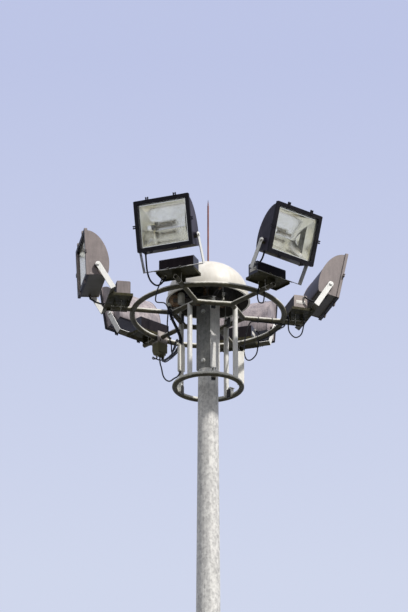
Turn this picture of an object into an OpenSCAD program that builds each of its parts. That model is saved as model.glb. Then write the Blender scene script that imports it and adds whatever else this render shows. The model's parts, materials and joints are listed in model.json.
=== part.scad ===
// High mast floodlight tower: a tapered steel mast on a bolted flange, with a winch-lowered
// carriage of six tilting floodlights under a domed cap.
// Millimetres, +Z up, -Y is the front. The origin is the middle of the flange's underside.
// A bearing is counted from the front (-Y) towards +X.

/* [Mast] */
// Height of the top of the tapered mast above the ground
mast_top = 19400; // [15000:100:25000]
// Outer diameter of the mast at its foot
foot_d = 460; // [400:5:520]
// Outer diameter of the mast at its top
top_d = 164; // [150:1:180]
// Wall of the lower mast section
lower_wall = 6; // [4:0.5:10]
// Wall of the upper mast section
upper_wall = 5; // [3:0.5:8]
// Height of the bottom edge of the upper section
joint_z = 9600; // [7000:100:12000]
// Length of the slip joint between the two sections
joint_lap = 650; // [400:10:1000]

/* [Base flange] */
// Diameter of the base flange
flange_d = 740; // [680:10:900]
// Thickness of the base flange
flange_t = 30; // [20:1:50]
// Diameter of the cable opening in the flange
flange_opening_d = 300; // [200:10:360]
// Pitch circle of the anchor holes
anchor_pcd = 640; // [620:10:680]
// Diameter of an anchor hole
anchor_hole_d = 34; // [26:1:42]
// Number of anchor holes, and of the ribs between them
anchor_count = 12; // [8:1:16]
// Height of a stiffening rib
rib_h = 220; // [120:10:400]
// Thickness of a stiffening rib
rib_t = 12; // [8:1:20]

/* [Service door] */
// Height of the middle of the door above the ground
door_z = 1050; // [900:10:1400]
// Width of the door opening
door_w = 220; // [180:5:260]
// Height of the door opening
door_h = 640; // [500:10:800]
// Wall of the frame welded round the opening
door_frame_t = 16; // [10:1:24]
// How far the frame stands out of the mast at mid height
door_frame_out = 24; // [16:1:40]
// Thickness of the door leaf
door_t = 6; // [4:1:10]

/* [Head] */
// Outside width of the square head post
post_w = 155; // [140:1:170]
// Wall of the square head post
post_wall = 6; // [4:0.5:10]
// Length of the square head post
post_h = 700; // [600:10:900]
// Height of the lower clamp bolt above the foot of the head post
clamp_low = 88; // [60:1:120]
// Height of the upper clamp bolt above the foot of the head post
clamp_high = 582; // [500:1:600]
// Pitch radius of a rope sheave
sheave_r = 60; // [45:1:70]
// Thickness of a rope sheave
sheave_t = 18; // [14:1:24]
// Height of the sheave axles above the head post
axle_up = 100; // [80:1:120]

/* [Cap] */
// Height of the cap's rim above the plane of the floodlight ring
cap_rim_up = 135; // [130:1:160]
// Height of the cap's top above its rim
cap_h = 373; // [340:1:420]
// Radius of the cap's rolled rim
cap_r = 389; // [370:1:420]
// Wall of the cap
cap_wall = 3; // [2:0.5:5]
// Length of the lightning rod above the cap
rod_h = 620; // [400:10:900]
// Diameter of the lightning rod
rod_d = 16; // [12:1:20]

/* [Carriage] */
// Height of the floodlight ring above the foot of the head post
ring_up = 571; // [560:1:600]
// Radius of the outer ring, at the middle of its pipe
ring_r = 700; // [660:5:760]
// Radius of the hexagon's corners, at the middle of its pipe
hex_r = 330; // [325:1:345]
// Radius of the lower ring, at the middle of its pipe
cage_r = 307; // [302:1:312]
// Height of the carriage's cage, from the lower ring to the hexagon
cage_h = 718; // [600:5:900]
// Radius on which the cage posts stand
cage_post_r = 300; // [298:1:302]
// Diameter of the carriage's pipes
pipe_d = 48; // [42:0.5:52]
// Diameter of a spoke's pipe
spoke_d = 44; // [38:0.5:46]
// Wall of the spokes' pipe
pipe_wall = 4; // [3:0.5:6]
// Radius that the guide blocks leave free round the mast
guide_r = 240; // [234:1:250]
// How far the carriage can be lowered
travel = 17000; // [12000:100:17200]
// Diameter of a suspension rope
rope_d = 8; // [6:0.5:10]

/* [Floodlights] */
// Width of the front frame
frame_w = 538; // [500:1:556]
// Height of the front frame
frame_h = 477; // [450:1:500]
// Thickness of the front frame
frame_t = 25; // [20:1:30]
// Width of the frame's border round the glass
frame_border = 36; // [28:1:44]
// Height of the tilt axis above the frame's bottom edge
pivot_up = 106; // [98:1:116]
// Distance of the tilt axis behind the frame
pivot_back = 85; // [78:1:92]
// Width of the housing between its side plates
housing_w = 504; // [460:2:510]
// Depth of the housing behind the front frame
housing_d = 195; // [185:1:205]
// Wall of the housing
housing_wall = 3; // [2:0.5:4]
// Thickness of the front glass
glass_t = 5; // [4:0.5:6]
// Depth of the reflector
trough_d = 150; // [120:1:160]
// Diameter of the tubular lamp
lamp_d = 46; // [30:1:60]

/* [Brackets] */
// Radius of the tilt axes from the mast's middle
pivot_r = 1076; // [1060:1:1120]
// Height of the tilt axes above the ring plane
pivot_h = 300; // [290:1:320]
// Length of a yoke arm, from the tilt axis to the face that is bolted down
yoke_arm = 270; // [266:1:280]
// Angle at which the yokes lean outwards
yoke_lean = 32; // [28:1:34]
// Outside width of a yoke
yoke_w = 586; // [580:1:600]
// Width of the yoke's flat bar
yoke_bar = 50; // [40:1:56]
// Thickness of the yoke's flat bar
yoke_t = 6; // [5:1:8]
// Diameter of a tilt bolt
bolt_d = 16; // [12:1:20]
// Length of a gear box across its bracket
gear_w = 350; // [300:5:380]
// Depth of a gear box
gear_d = 142; // [130:1:146]
// Height of a gear box
gear_h = 126; // [110:1:134]
// Thickness of the bracket's sheet
tray_t = 4; // [3:0.5:6]

/* [Hidden] */
$fn = 48;

// A hair of room between pieces that are fitted into each other
fit = 0.2;
// Running clearance on the radius of a pin
run = 0.1;
ring_z = mast_top + ring_up;
cage_z = ring_z - cage_h;
pipe_r = pipe_d / 2;

// Bearings and resting tilts of the floodlights, front left first, then on round by the right
light_az = [for (i = [0 : 5]) -30 + i * 60];
light_tilt = [13.5, 17, 12, 12, 12, 3];
// How far each bracket is turned on its spoke, as they were welded on a little askew
bracket_turn = [-2.5, -1, 6, 0, 0, -1];
rope_az = [16.2, 136.2, 256.2];
guide_az = [0, 120, 240];
post_az = [45, 135, 225, 315];

// Outer radius of each mast section at a height
taper = (foot_d - top_d - 2 * (upper_wall + fit)) / 2 / (mast_top - flange_t);
function lower_r(z) = foot_d / 2 - taper * (z - flange_t);
function upper_r(z) = lower_r(z) + upper_wall + fit;

// Places the children at a bearing, a distance from the mast's middle and a height, -Y outwards
module at(az, r = 0, z = 0) {
    rotate([0, 0, az]) translate([0, -r, z]) children();
}

// A cylinder along X, in the middle
module along_x(d, len) {
    rotate([0, 90, 0]) cylinder(d = d, h = len, center = true);
}

// A cylinder that starts at the origin and runs along -Y
module along_out(d, len) {
    rotate([90, 0, 0]) cylinder(d = d, h = len);
}

// A sheet seen from above, given by its size along X, Y and Z, in the middle of X only
module slab(w, d, h) {
    translate([-w / 2, 0, 0]) cube([w, d, h]);
}

// Sweeps a round cord along a list of points, one ring of corners at each point
function unit(v) = v / norm(v);
function along(p, i) = unit(p[min(i + 1, len(p) - 1)] - p[max(i - 1, 0)]);
function carried(n, t) = unit(n - (n * t) * t);
function side_axis(p, i) =
    i == 0
        ? carried(abs(along(p, 0).z) < 0.9 ? [0, 0, 1] : [1, 0, 0], along(p, 0))
        : carried(side_axis(p, i - 1), along(p, i));
function cord_ring(p, i, r, sides) =
    let (t = along(p, i), u = side_axis(p, i), v = cross(t, u))
    [for (k = [0 : sides - 1]) p[i] + r * (cos(k * 360 / sides) * u + sin(k * 360 / sides) * v)];
module cord(p, d, sides = 8) {
    rings = len(p);
    corners = [for (i = [0 : rings - 1]) each cord_ring(p, i, d / 2, sides)];
    walls = [for (i = [0 : rings - 2], k = [0 : sides - 1])
        [i * sides + k, (i + 1) * sides + k, (i + 1) * sides + (k + 1) % sides, i * sides + (k + 1) % sides]];
    polyhedron(corners, concat([[for (k = [0 : sides - 1]) k]], walls,
        [[for (k = [0 : sides - 1]) rings * sides - 1 - k]]));
}

// A smooth curve through a few points
function curve_at(a, b, c, d, t) =
    0.5 * (2 * b + (c - a) * t + (2 * a - 5 * b + 4 * c - d) * t * t
    + (3 * b - a - 3 * c + d) * t * t * t);
function smooth(p, steps) = concat(
    [for (i = [0 : len(p) - 2], s = [0 : steps - 1])
        curve_at(p[max(i - 1, 0)], p[i], p[i + 1], p[min(i + 2, len(p) - 1)], s / steps)],
    [p[len(p) - 1]]);

// The tapered outside of the lower section between two heights
module mast_solid(z0, z1, shrink = 0) {
    translate([0, 0, z0])
        cylinder(r1 = lower_r(z0) - shrink, r2 = lower_r(z1) - shrink, h = z1 - z0);
}

// Base flange, with a rib between every two anchor holes
module base_rib() {
    inner = lower_r(flange_t + rib_h) - 10;
    outer = flange_d / 2 - 12;
    toe = 24;
    translate([0, rib_t / 2, 0])
        rotate([90, 0, 0])
            linear_extrude(rib_t)
                polygon([
                    [inner, flange_t - 1],
                    [outer, flange_t - 1],
                    [outer, flange_t + toe],
                    [lower_r(flange_t + rib_h) + toe, flange_t + rib_h],
                    [inner, flange_t + rib_h]]);
}

module base_flange() {
    color([0.62, 0.64, 0.65])
        difference() {
            union() {
                cylinder(d = flange_d, h = flange_t);
                for (i = [0 : anchor_count - 1])
                    rotate([0, 0, (i + 0.5) * 360 / anchor_count]) base_rib();
            }
            mast_solid(flange_t, flange_t + rib_h + 10);
            translate([0, 0, -1]) cylinder(d = flange_opening_d, h = flange_t + 2);
            for (i = [0 : anchor_count - 1])
                rotate([0, 0, i * 360 / anchor_count])
                    translate([anchor_pcd / 2, 0, -1]) cylinder(d = anchor_hole_d, h = flange_t + 2);
        }
}

// Lower mast section, a tapered tube with the door opening
module door_outline(grow) {
    w = door_w + 2 * grow;
    h = door_h + 2 * grow;
    for (s = [-1, 1]) translate([0, s * (h - w) / 2]) circle(d = w);
    square([w, h - w], center = true);
}

module door_block(grow, y0, y1) {
    translate([0, y1, door_z])
        rotate([90, 0, 0]) linear_extrude(y1 - y0) door_outline(grow);
}

module mast_lower() {
    top = joint_z + joint_lap;
    color([0.72, 0.74, 0.75])
        difference() {
            mast_solid(flange_t, top);
            mast_solid(flange_t - 1, top + 1, lower_wall);
            door_block(door_frame_t, -foot_d, 0);
        }
}

// Frame round the door opening, a loop of bar that stiffens the cut wall
door_face_y = -(lower_r(door_z) + door_frame_out);
door_inner_y = -(lower_r(door_z) - 56);

module door_frame() {
    color([0.66, 0.68, 0.69])
        difference() {
            door_block(door_frame_t, door_face_y, door_inner_y);
            door_block(0, door_face_y - 1, door_inner_y + 1);
        }
}

// Door leaf, closed and bolted on the frame, with two hinge barrels and a lock boss
module service_door() {
    lip = door_frame_t;
    color([0.64, 0.66, 0.67]) {
        door_block(lip, door_face_y - door_t, door_face_y);
        translate([0, door_face_y - door_t, door_z + door_h / 4]) along_out(34, 12);
        for (s = [-1, 1])
            translate([-(door_w / 2 + lip) + 4, door_face_y - door_t - 7, door_z + s * door_h / 4])
                cylinder(d = 14, h = 60, center = true);
    }
}

// Upper mast section, slipped over the lower one
module mast_upper() {
    run_in = mast_top - joint_z;
    color([0.74, 0.76, 0.77])
        translate([0, 0, joint_z])
            difference() {
                cylinder(r1 = upper_r(joint_z), r2 = upper_r(mast_top), h = run_in);
                translate([0, 0, -1])
                    cylinder(
                        r1 = upper_r(joint_z - 1) - upper_wall,
                        r2 = upper_r(mast_top + 1) - upper_wall,
                        h = run_in + 2);
            }
}

// Spigot: a plate welded on the mast's top and the round tube inside the head post
spigot_plate_t = 8;
spigot_d = post_w - 2 * post_wall - 2 * fit;
spigot_h = clamp_high + 50;
rope_hole_d = 100;

module head_spigot() {
    color([0.6, 0.61, 0.62])
        difference() {
            union() {
                translate([0, 0, mast_top]) cylinder(r = upper_r(mast_top), h = spigot_plate_t);
                translate([0, 0, mast_top + spigot_plate_t])
                    cylinder(d = spigot_d, h = spigot_h - spigot_plate_t);
            }
            translate([0, 0, mast_top - 1]) cylinder(d = rope_hole_d, h = spigot_plate_t + 2);
            translate([0, 0, mast_top + spigot_plate_t])
                cylinder(d = spigot_d - 12, h = spigot_h);
            clamp_holes();
        }
}

// Square head post, standing on the spigot's plate with its corners over the mast's edge
post_z = mast_top + spigot_plate_t;
post_top = post_z + post_h;

module clamp_holes() {
    for (h = [clamp_low, clamp_high])
        translate([0, 0, mast_top + h])
            rotate([0, 0, -45]) rotate([90, 0, 0])
                cylinder(d = 22, h = 2 * post_w, center = true);
}

module head_post() {
    color([0.7, 0.72, 0.72])
        difference() {
            rotate([0, 0, 45]) translate([-post_w / 2, -post_w / 2, post_z])
                cube([post_w, post_w, post_h]);
            rotate([0, 0, 45]) translate([post_wall - post_w / 2, post_wall - post_w / 2, post_z - 1])
                cube([post_w - 2 * post_wall, post_w - 2 * post_wall, post_h + 2]);
            clamp_holes();
        }
}

// Bolts that clamp the post to the spigot, each with a washer and a hexagon head or nut
module clamp_bolts() {
    washer_t = 4;
    head_t = 13;
    shank = 22 - 2 * run;
    tail = 34;
    color([0.78, 0.78, 0.76])
        for (h = [clamp_low, clamp_high], side = [-45, 135])
            at(side, post_w / 2, mast_top + h) {
                along_out(44, washer_t);
                translate([0, -washer_t, 0]) rotate([90, 0, 0]) cylinder(d = 36, h = head_t, $fn = 6);
                translate([0, tail, 0]) along_out(shank, tail);
            }
}

// Head frame: a plate on the post and three pairs of cheeks that carry the rope sheaves
hub_t = 10;
hub_r = 130;
hub_foot = post_top + fit;
hub_top = hub_foot + hub_t;
axle_z = post_top + axle_up;
cheek_t = 6;
cheek_gap = sheave_t + 1.2;
rope_r = 298;
outer_axle_r = rope_r - sheave_r;
inner_axle_r = 20 + sheave_r;
axle_d = 16;
cheek_top = axle_z + sheave_r + 26;

module cheek_outline() {
    polygon([
        [-44, hub_top],
        [-hub_r, hub_top],
        [-outer_axle_r - 34, axle_z - 40],
        [-outer_axle_r - 46, axle_z],
        [-outer_axle_r - 34, cheek_top],
        [-44, cheek_top]]);
}

module head_frame() {
    color([0.45, 0.44, 0.42]) {
        difference() {
            translate([0, 0, hub_foot]) cylinder(r = hub_r, h = hub_t);
            translate([0, 0, hub_foot - 1]) cylinder(d = rope_hole_d, h = hub_t + 2);
        }
        for (az = rope_az)
            rotate([0, 0, az])
                for (s = [-1, 1])
                    translate([s * (cheek_gap + cheek_t) / 2, 0, 0]) {
                        translate([-cheek_t / 2, 0, 0])
                            rotate([90, 0, 90]) linear_extrude(cheek_t) cheek_outline();
                    }
        for (az = rope_az, r = [inner_axle_r, outer_axle_r])
            at(az, r, axle_z) along_x(axle_d, cheek_gap + 2 * cheek_t + 8);
        // Disc on the cheeks that carries the cap
        translate([0, 0, cheek_top - 1]) cylinder(r = 70, h = hub_t + 1);
    }
}

// Grooved rope sheaves, two to a rope
module sheave(pitch, thick, rope, bore) {
    rotate([0, 90, 0])
        rotate_extrude()
            polygon([
                [bore / 2, -thick / 2],
                [pitch + 6, -thick / 2],
                [pitch + 6, -thick / 2 + 2],
                [pitch - rope / 2 - fit, -rope / 2 - fit],
                [pitch - rope / 2 - fit, rope / 2 + fit],
                [pitch + 6, thick / 2 - 2],
                [pitch + 6, thick / 2],
                [bore / 2, thick / 2]]);
}

module rope_sheaves() {
    color([0.5, 0.36, 0.22])
        for (az = rope_az, r = [inner_axle_r, outer_axle_r])
            at(az, r, axle_z) sheave(sheave_r, sheave_t, rope_d, axle_d + 2 * run);
}

// Wheel that leads the supply cable down to the carriage, on an arm from the head post
wheel_r = 50;
wheel_t = 30;
wheel_x = -322;
wheel_y = -48;
wheel_z = ring_z + 94;
supply_d = 22;
supply_x = wheel_x - wheel_r;

module cable_wheel() {
    fork_half = wheel_t / 2 + 1;
    color([0.55, 0.33, 0.18]) {
        translate([wheel_x, wheel_y, wheel_z])
            rotate([0, 0, 90]) sheave(wheel_r, wheel_t, supply_d, axle_d + 2 * run);
        translate([wheel_x, wheel_y + fork_half + cheek_t, wheel_z])
            along_out(axle_d, 2 * (fork_half + cheek_t));
        difference() {
            for (y = [wheel_y - fork_half - cheek_t, wheel_y + fork_half])
                translate([wheel_x - 20, y, wheel_z - 20]) cube([-wheel_x, cheek_t, 40]);
            head_post_solid();
        }
    }
}

module head_post_solid() {
    rotate([0, 0, 45]) translate([-post_w / 2, -post_w / 2, post_z]) cube([post_w, post_w, post_h]);
}

// Light hood over the end of the supply cable's conduit
hood_d = 64;
hood_h = 96;

module cable_hood() {
    color([0.85, 0.85, 0.82])
        translate([wheel_x + 50, wheel_y - wheel_t / 2 - 1 - cheek_t - hood_d / 2, ring_z + 48]) {
            cylinder(d = hood_d, h = hood_h);
            translate([0, 0, hood_h]) cylinder(d1 = hood_d, d2 = 40, h = 14);
        }
}

// Domed cap: a spun shell with a short straight skirt and a rolled rim
cap_z = ring_z + cap_rim_up;
skirt_h = 52;
skirt_r = cap_r - 14;
cap_steps = 18;

function dome_line(r, z0, h) = [for (i = [0 : cap_steps])
    let (a = i * 90 / cap_steps) [r * cos(a), z0 + h * sin(a)]];

module dome_cap() {
    top_h = cap_h - skirt_h;
    rim_t = 10;
    outer = dome_line(skirt_r, cap_z + skirt_h, top_h);
    inner = dome_line(skirt_r - cap_wall, cap_z + skirt_h, top_h - cap_wall);
    color([0.86, 0.85, 0.82])
        difference() {
            rotate_extrude($fn = 72)
                polygon(concat(
                    [[skirt_r - cap_wall, cap_z]],
                    [[cap_r, cap_z]],
                    [[cap_r, cap_z + rim_t]],
                    [[skirt_r + 5, cap_z + rim_t + 3]],
                    [[skirt_r - 1, cap_z + rim_t + 6]],
                    [[skirt_r - 1, cap_z + rim_t + 12]],
                    [[skirt_r, cap_z + rim_t + 14]],
                    outer,
                    [for (i = [cap_steps : -1 : 0]) inner[i]]));
            translate([0, 0, cap_z]) cylinder(d = rod_d + 2 * fit, h = 2 * cap_h);
        }
}

// Lightning rod, standing on the head frame's disc and leaving through the cap
module lightning_rod() {
    foot = cheek_top + hub_t;
    top = cap_z + cap_h;
    color([0.45, 0.2, 0.13]) {
        translate([0, 0, foot]) cylinder(d = rod_d, h = top + rod_h - foot - 12);
        translate([0, 0, top + rod_h - 12]) cylinder(d1 = rod_d, d2 = 3, h = 12);
        translate([0, 0, top + 0.2]) cylinder(d = 3 * rod_d, h = 8);
        translate([0, 0, top - cap_wall - 13.5]) cylinder(d = 3 * rod_d, h = 12);
        translate([0, 0, foot]) cylinder(d = 40, h = 8);
    }
}

// Winch inside the mast behind the door, and the plate that joins the three ropes
winch_z = door_z;
drum_r = 60;
drum_y = -20;
drum_w = 150;
// The plate rises by the whole travel as the carriage comes down, and stops short of the mast's top
equaliser_stop = 500;
equaliser_z = mast_top - travel - equaliser_stop;

module winch() {
    bar_half = lower_r(winch_z) - lower_wall - 6;
    color([0.35, 0.38, 0.4]) {
        translate([0, drum_y, winch_z]) along_x(2 * drum_r, drum_w);
        for (s = [-1, 1])
            translate([s * drum_w / 2, drum_y, winch_z]) along_x(2 * drum_r + 50, 8);
        difference() {
            intersection() {
                translate([0, drum_y, winch_z]) union() {
                    along_x(30, 2 * bar_half + 40);
                    for (s = [-1, 1])
                        translate([s * (bar_half - 10), 0, 0]) cube([12, 90, 160], center = true);
                }
                mast_solid(winch_z - 200, winch_z + 200, lower_wall);
            }
            translate([0, drum_y, winch_z]) along_x(28, drum_w);
        }
        translate([0, 0, equaliser_z]) cylinder(r = 40, h = 20);
    }
}

// Ropes inside the mast and over the sheaves, up to where they leave for the carriage
module rope_arc(r, from) {
    rotate([90, 0, 90]) rotate([0, 0, from]) rotate_extrude(angle = 90) translate([r, 0]) circle(d = rope_d);
}

module hoist_ropes() {
    in_r = inner_axle_r - sheave_r;
    foot = equaliser_z + 20;
    drum_lead = drum_y + drum_r + rope_d / 2 + fit;
    color([0.4, 0.4, 0.38]) {
        for (az = rope_az) {
            at(az, in_r, foot) cylinder(d = rope_d, h = axle_z - foot);
            at(az, inner_axle_r, axle_z) rope_arc(sheave_r, 0);
            at(az, outer_axle_r, axle_z + sheave_r)
                rotate([-90, 0, 0]) cylinder(d = rope_d, h = outer_axle_r - inner_axle_r);
            at(az, outer_axle_r, axle_z) rope_arc(sheave_r, 90);
        }
        cord([
            [0, drum_lead, winch_z],
            [0, drum_lead, equaliser_z - 120],
            [0, 0, equaliser_z - 40],
            [0, 0, equaliser_z - fit]], rope_d);
    }
}

// Suspension ropes from the sheaves down to the lugs on the hexagon
lug_top = ring_z + pipe_r + 44;

module suspension_ropes() {
    color([0.72, 0.72, 0.7])
        for (az = rope_az)
            at(az, rope_r, lug_top) cylinder(d = rope_d, h = axle_z - lug_top);
}

// Supply cable from the wheel down to the carriage's cable head
supply_foot = ring_z + 40;

module supply_cable() {
    color([0.08, 0.08, 0.08])
        translate([supply_x, wheel_y, supply_foot]) cylinder(d = supply_d, h = wheel_z - supply_foot);
}

// Outer ring, a pipe rolled into a full circle
module ring_solid() {
    translate([0, 0, ring_z]) rotate_extrude($fn = 96) translate([ring_r, 0]) circle(d = pipe_d);
}

module outer_ring() {
    color([0.62, 0.63, 0.58]) ring_solid();
}

// Hexagon that carries the cage, with a knuckle at each corner and a lug for each rope
knuckle_r = pipe_r + 2;
hex_flat = hex_r * cos(30);

module hex_pipes(d) {
    for (i = [0 : 5])
        at(i * 60, hex_flat, ring_z) along_x(d, hex_r);
    for (i = [0 : 5])
        at(30 + i * 60, hex_r, ring_z) sphere(r = knuckle_r);
}

module hex_ring() {
    color([0.62, 0.63, 0.58]) {
        hex_pipes(pipe_d - 1);
        for (az = rope_az)
            at(az, rope_r, ring_z) {
                translate([-4, -18, pipe_r - 6]) cube([8, 36, 40]);
                translate([0, 0, pipe_r + 30]) cylinder(d = 18, h = 14);
            }
    }
}

// Spokes from the hexagon's corners to the outer ring, and on out under the brackets
module spoke_bar(d, from, to) {
    for (az = light_az) at(az, from, ring_z) along_out(d, to - from);
}

module spokes() {
    color([0.6, 0.61, 0.56])
        difference() {
            spoke_bar(spoke_d, hex_r + 8, spoke_end);
            spoke_bar(spoke_d - 2 * pipe_wall, ring_r + 60, spoke_end + 1);
            hex_pipes(pipe_d - 1);
            ring_solid();
        }
}

// Four posts that hang the lower ring from the hexagon
module cage_posts() {
    color([0.66, 0.67, 0.63])
        difference() {
            for (az = post_az)
                at(az, cage_post_r, cage_z) cylinder(d = pipe_d - 1, h = cage_h);
            hex_pipes(pipe_d - 1);
            lower_ring_solid();
        }
}

module lower_ring_solid() {
    translate([0, 0, cage_z]) rotate_extrude($fn = 72) translate([cage_r, 0]) circle(d = pipe_d);
}

module lower_ring() {
    color([0.62, 0.62, 0.56]) lower_ring_solid();
}

// Guides: an upright bracket of I section on each ring, with a rubber block that rides on the mast
block_w = 40;
block_d = 16;
guide_low = -15;
guide_high = 68;
block_low = -38;

module guide_bracket(seat, z) {
    flange_w = 34;
    flange_t = 6;
    stem_t = 10;
    back = guide_r + block_d;
    reach = seat - back;
    translate([0, -back - flange_t, z + guide_low]) slab(flange_w, flange_t, guide_high - guide_low);
    translate([0, -seat, z + guide_low]) slab(stem_t, reach, guide_high - guide_low);
    for (h = [guide_low, guide_high - flange_t])
        translate([0, -seat, z + h]) slab(flange_w, reach, flange_t);
}

module guide_brackets() {
    color([0.8, 0.8, 0.78])
        difference() {
            for (az = guide_az) rotate([0, 0, az]) {
                guide_bracket(hex_flat, ring_z);
                guide_bracket(cage_r, cage_z);
            }
            hex_pipes(pipe_d - 1);
            lower_ring_solid();
        }
}

module guide_blocks() {
    color([0.08, 0.08, 0.08])
        for (az = guide_az, z = [ring_z, cage_z])
            at(az, guide_r + block_d, z + block_low) slab(block_w, block_d, guide_high - guide_low);
}

// Brackets: a folded sheet on a saddle over each spoke, its front edge bent down for the yoke
tray_z = ring_z + 72;
tray_w = 364;
yoke_foot_r = pivot_r - yoke_arm * sin(yoke_lean);
yoke_foot_z = ring_z + pivot_h - yoke_arm * cos(yoke_lean);
seat_back = yoke_foot_r - yoke_bar / 2 * cos(yoke_lean) - 3;
gear_r = seat_back - 18 - gear_d;
tray_back = gear_r - 16;
spoke_end = seat_back + 1;
saddle_inset = 30;
saddle_mid = (tray_back + seat_back) / 2;

module bracket(i) {
    at(light_az[i], saddle_mid) rotate([0, 0, bracket_turn[i]]) translate([0, saddle_mid, 0]) children();
}

module leaning() {
    translate([0, -yoke_foot_r, yoke_foot_z]) rotate([yoke_lean, 0, 0]) children();
}

// Height of the underside of the yoke's sloped seat at a radius
function seat_under(r) =
    yoke_foot_z + (yoke_foot_r - r) * tan(yoke_lean) - tray_t / cos(yoke_lean);
gusset_toe = 10;

module gear_tray() {
    lip = 22;
    saddle_w = 90;
    top = tray_z + tray_t;
    middle = tray_z + tray_t / 2 - tray_t / 2 / cos(yoke_lean);
    front = yoke_foot_r + (seat_under(yoke_foot_r) - middle) / tan(yoke_lean);
    seat_len = (yoke_foot_r - seat_back) / cos(yoke_lean) + yoke_bar / 2 + 4;
    translate([0, -front, tray_z]) slab(tray_w, front - tray_back, tray_t);
    translate([0, -tray_back - tray_t, tray_z - lip]) slab(tray_w, tray_t, lip);
    for (s = [-1, 1])
        translate([s * (tray_w - tray_t) / 2, -front, tray_z - lip])
            slab(tray_t, front - tray_back, lip);
    leaning() translate([0, -yoke_bar / 2 - 4, -tray_t]) slab(tray_w, seat_len, tray_t);
    for (s = [-1, 0, 1])
        translate([s * (tray_w - tray_t) / 2 - tray_t / 2, 0, 0])
            rotate([90, 0, 90]) linear_extrude(tray_t)
                polygon([
                    [-front, top - 1],
                    [gusset_toe - seat_back, top - 1],
                    [-seat_back, seat_under(seat_back) + tray_t / 2]]);
    for (r = [tray_back + saddle_inset, seat_back - saddle_inset])
        translate([0, -r - 3, ring_z]) slab(saddle_w, 6, tray_z - ring_z);
}

module gear_trays() {
    color([0.55, 0.54, 0.48])
        difference() {
            for (i = [0 : 5]) bracket(i) gear_tray();
            spoke_bar(spoke_d, hex_r, spoke_end + 1);
        }
}

// Gear boxes: a cover with bevelled top edges over a flanged foot
module gear_box() {
    foot_t = 5;
    chamfer = 8;
    translate([0, -gear_r - gear_d, tray_z + tray_t]) slab(gear_w, gear_d, foot_t);
    translate([0, -gear_r - gear_d + 6, tray_z + tray_t + foot_t])
        rotate([90, 0, 90]) translate([0, 0, 6 - gear_w / 2])
            linear_extrude(gear_w - 12)
                polygon([
                    [0, 0],
                    [gear_d - 12, 0],
                    [gear_d - 12, gear_h - foot_t - chamfer],
                    [gear_d - 12 - chamfer, gear_h - foot_t],
                    [chamfer, gear_h - foot_t],
                    [0, gear_h - foot_t - chamfer]]);
}

module gear_boxes() {
    color([0.32, 0.29, 0.28])
        for (i = [0 : 5]) bracket(i) gear_box();
}

// Yokes: a flat bar bent into a U, bolted to the bracket's sloped edge, with the tilt bolts
module yoke() {
    arm_x = yoke_w / 2 - yoke_t;
    boss = yoke_w / 2 - yoke_t - housing_w / 2 - housing_wall;
    pin = boss - 6;
    leaning() {
        translate([0, -yoke_bar / 2, 0]) slab(yoke_w, yoke_bar, yoke_t);
        for (s = [-1, 1]) {
            translate([s > 0 ? arm_x : -yoke_w / 2, -yoke_bar / 2, 0])
                cube([yoke_t, yoke_bar, yoke_arm]);
            translate([s * (yoke_w - yoke_t) / 2, 0, yoke_arm]) along_x(yoke_bar, yoke_t);
            translate([s * (yoke_w / 2 + 5), 0, yoke_arm])
                rotate([0, 90, 0]) cylinder(d = 30, h = 10, center = true, $fn = 6);
            translate([s * (arm_x - pin / 2), 0, yoke_arm]) along_x(bolt_d, pin);
        }
        for (x = [-60, 60]) translate([x, 0, yoke_t]) cylinder(d = 26, h = 10, $fn = 6);
    }
}

module yokes() {
    color([0.82, 0.83, 0.82])
        for (i = [0 : 5]) bracket(i) yoke();
}

// Floodlight frame of reference: the tilt axis along X, the glass facing -Y, at its resting tilt
module light(i) {
    bracket(i) translate([0, -pivot_r, ring_z + pivot_h]) rotate([light_tilt[i], 0, 0]) children();
}

// Side outline of the housing: a bulging back over a flat underside
deepest_up = 150;
wrap_mid = deepest_up - pivot_up;
wrap_top = frame_h - pivot_up - 18;
wrap_bottom = -pivot_up + 14;
wrap_inset = 4;

function wrap_line(inset) =
    let (
        depth = housing_d - inset,
        rise = wrap_top - wrap_mid - inset,
        fall = wrap_mid - wrap_bottom - inset,
        bulge = 1.08,
        corner = 25)
    concat(
        [for (a = [90 : -6 : 0])
            [depth * pow(cos(a), bulge) - pivot_back, wrap_mid + rise * pow(sin(a), bulge)]],
        [for (a = [5 : 5 : corner - 5])
            [depth * cos(a) - pivot_back, wrap_mid - fall * sin(a) / sin(corner)]],
        [[depth * cos(corner) - 6 - pivot_back, wrap_mid - fall]],
        [[-pivot_back, wrap_mid - fall]]);

module side_sheet(inset, x, t) {
    translate([x, 0, 0]) rotate([90, 0, 90]) linear_extrude(t) polygon(wrap_line(inset));
}

// Housing: a curved sheet between two side plates, a flange for the front frame, two bosses and
// a gland under it for the lead
gland_h = 16;
gland_foot = wrap_bottom + wrap_inset - gland_h;
lead_x = 38 - frame_w / 2;

module housing() {
    half = housing_w / 2;
    boss = yoke_w / 2 - yoke_t - half - housing_wall - 0.3;
    inner = wrap_inset + housing_wall;
    difference() {
        side_sheet(wrap_inset, -half, housing_w);
        side_sheet(inner, -half - 1, housing_w + 2);
        translate([-half, -pivot_back - 2, wrap_bottom + inner])
            cube([housing_w, 4, wrap_top - wrap_bottom - 2 * inner]);
    }
    difference() {
        translate([0, -pivot_back, mouth_z - frame_h / 2 + 5]) slab(frame_w - 12, housing_wall, frame_h - 10);
        translate([0, -pivot_back - 1, mouth_z - frame_h / 2 + frame_border])
            slab(frame_w - 2 * frame_border, housing_wall + 2, frame_h - 2 * frame_border);
    }
    for (s = [-1, 1]) {
        side_sheet(0, s > 0 ? half : -half - housing_wall, housing_wall);
        difference() {
            translate([s * (half + housing_wall + boss / 2), 0, 0]) along_x(60, boss);
            translate([s * (half + housing_wall + boss / 2), 0, 0]) along_x(bolt_d + 2 * run, boss + 2);
        }
    }
    translate([lead_x, 0, gland_foot]) cylinder(d = 24, h = gland_h + 1);
}

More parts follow.
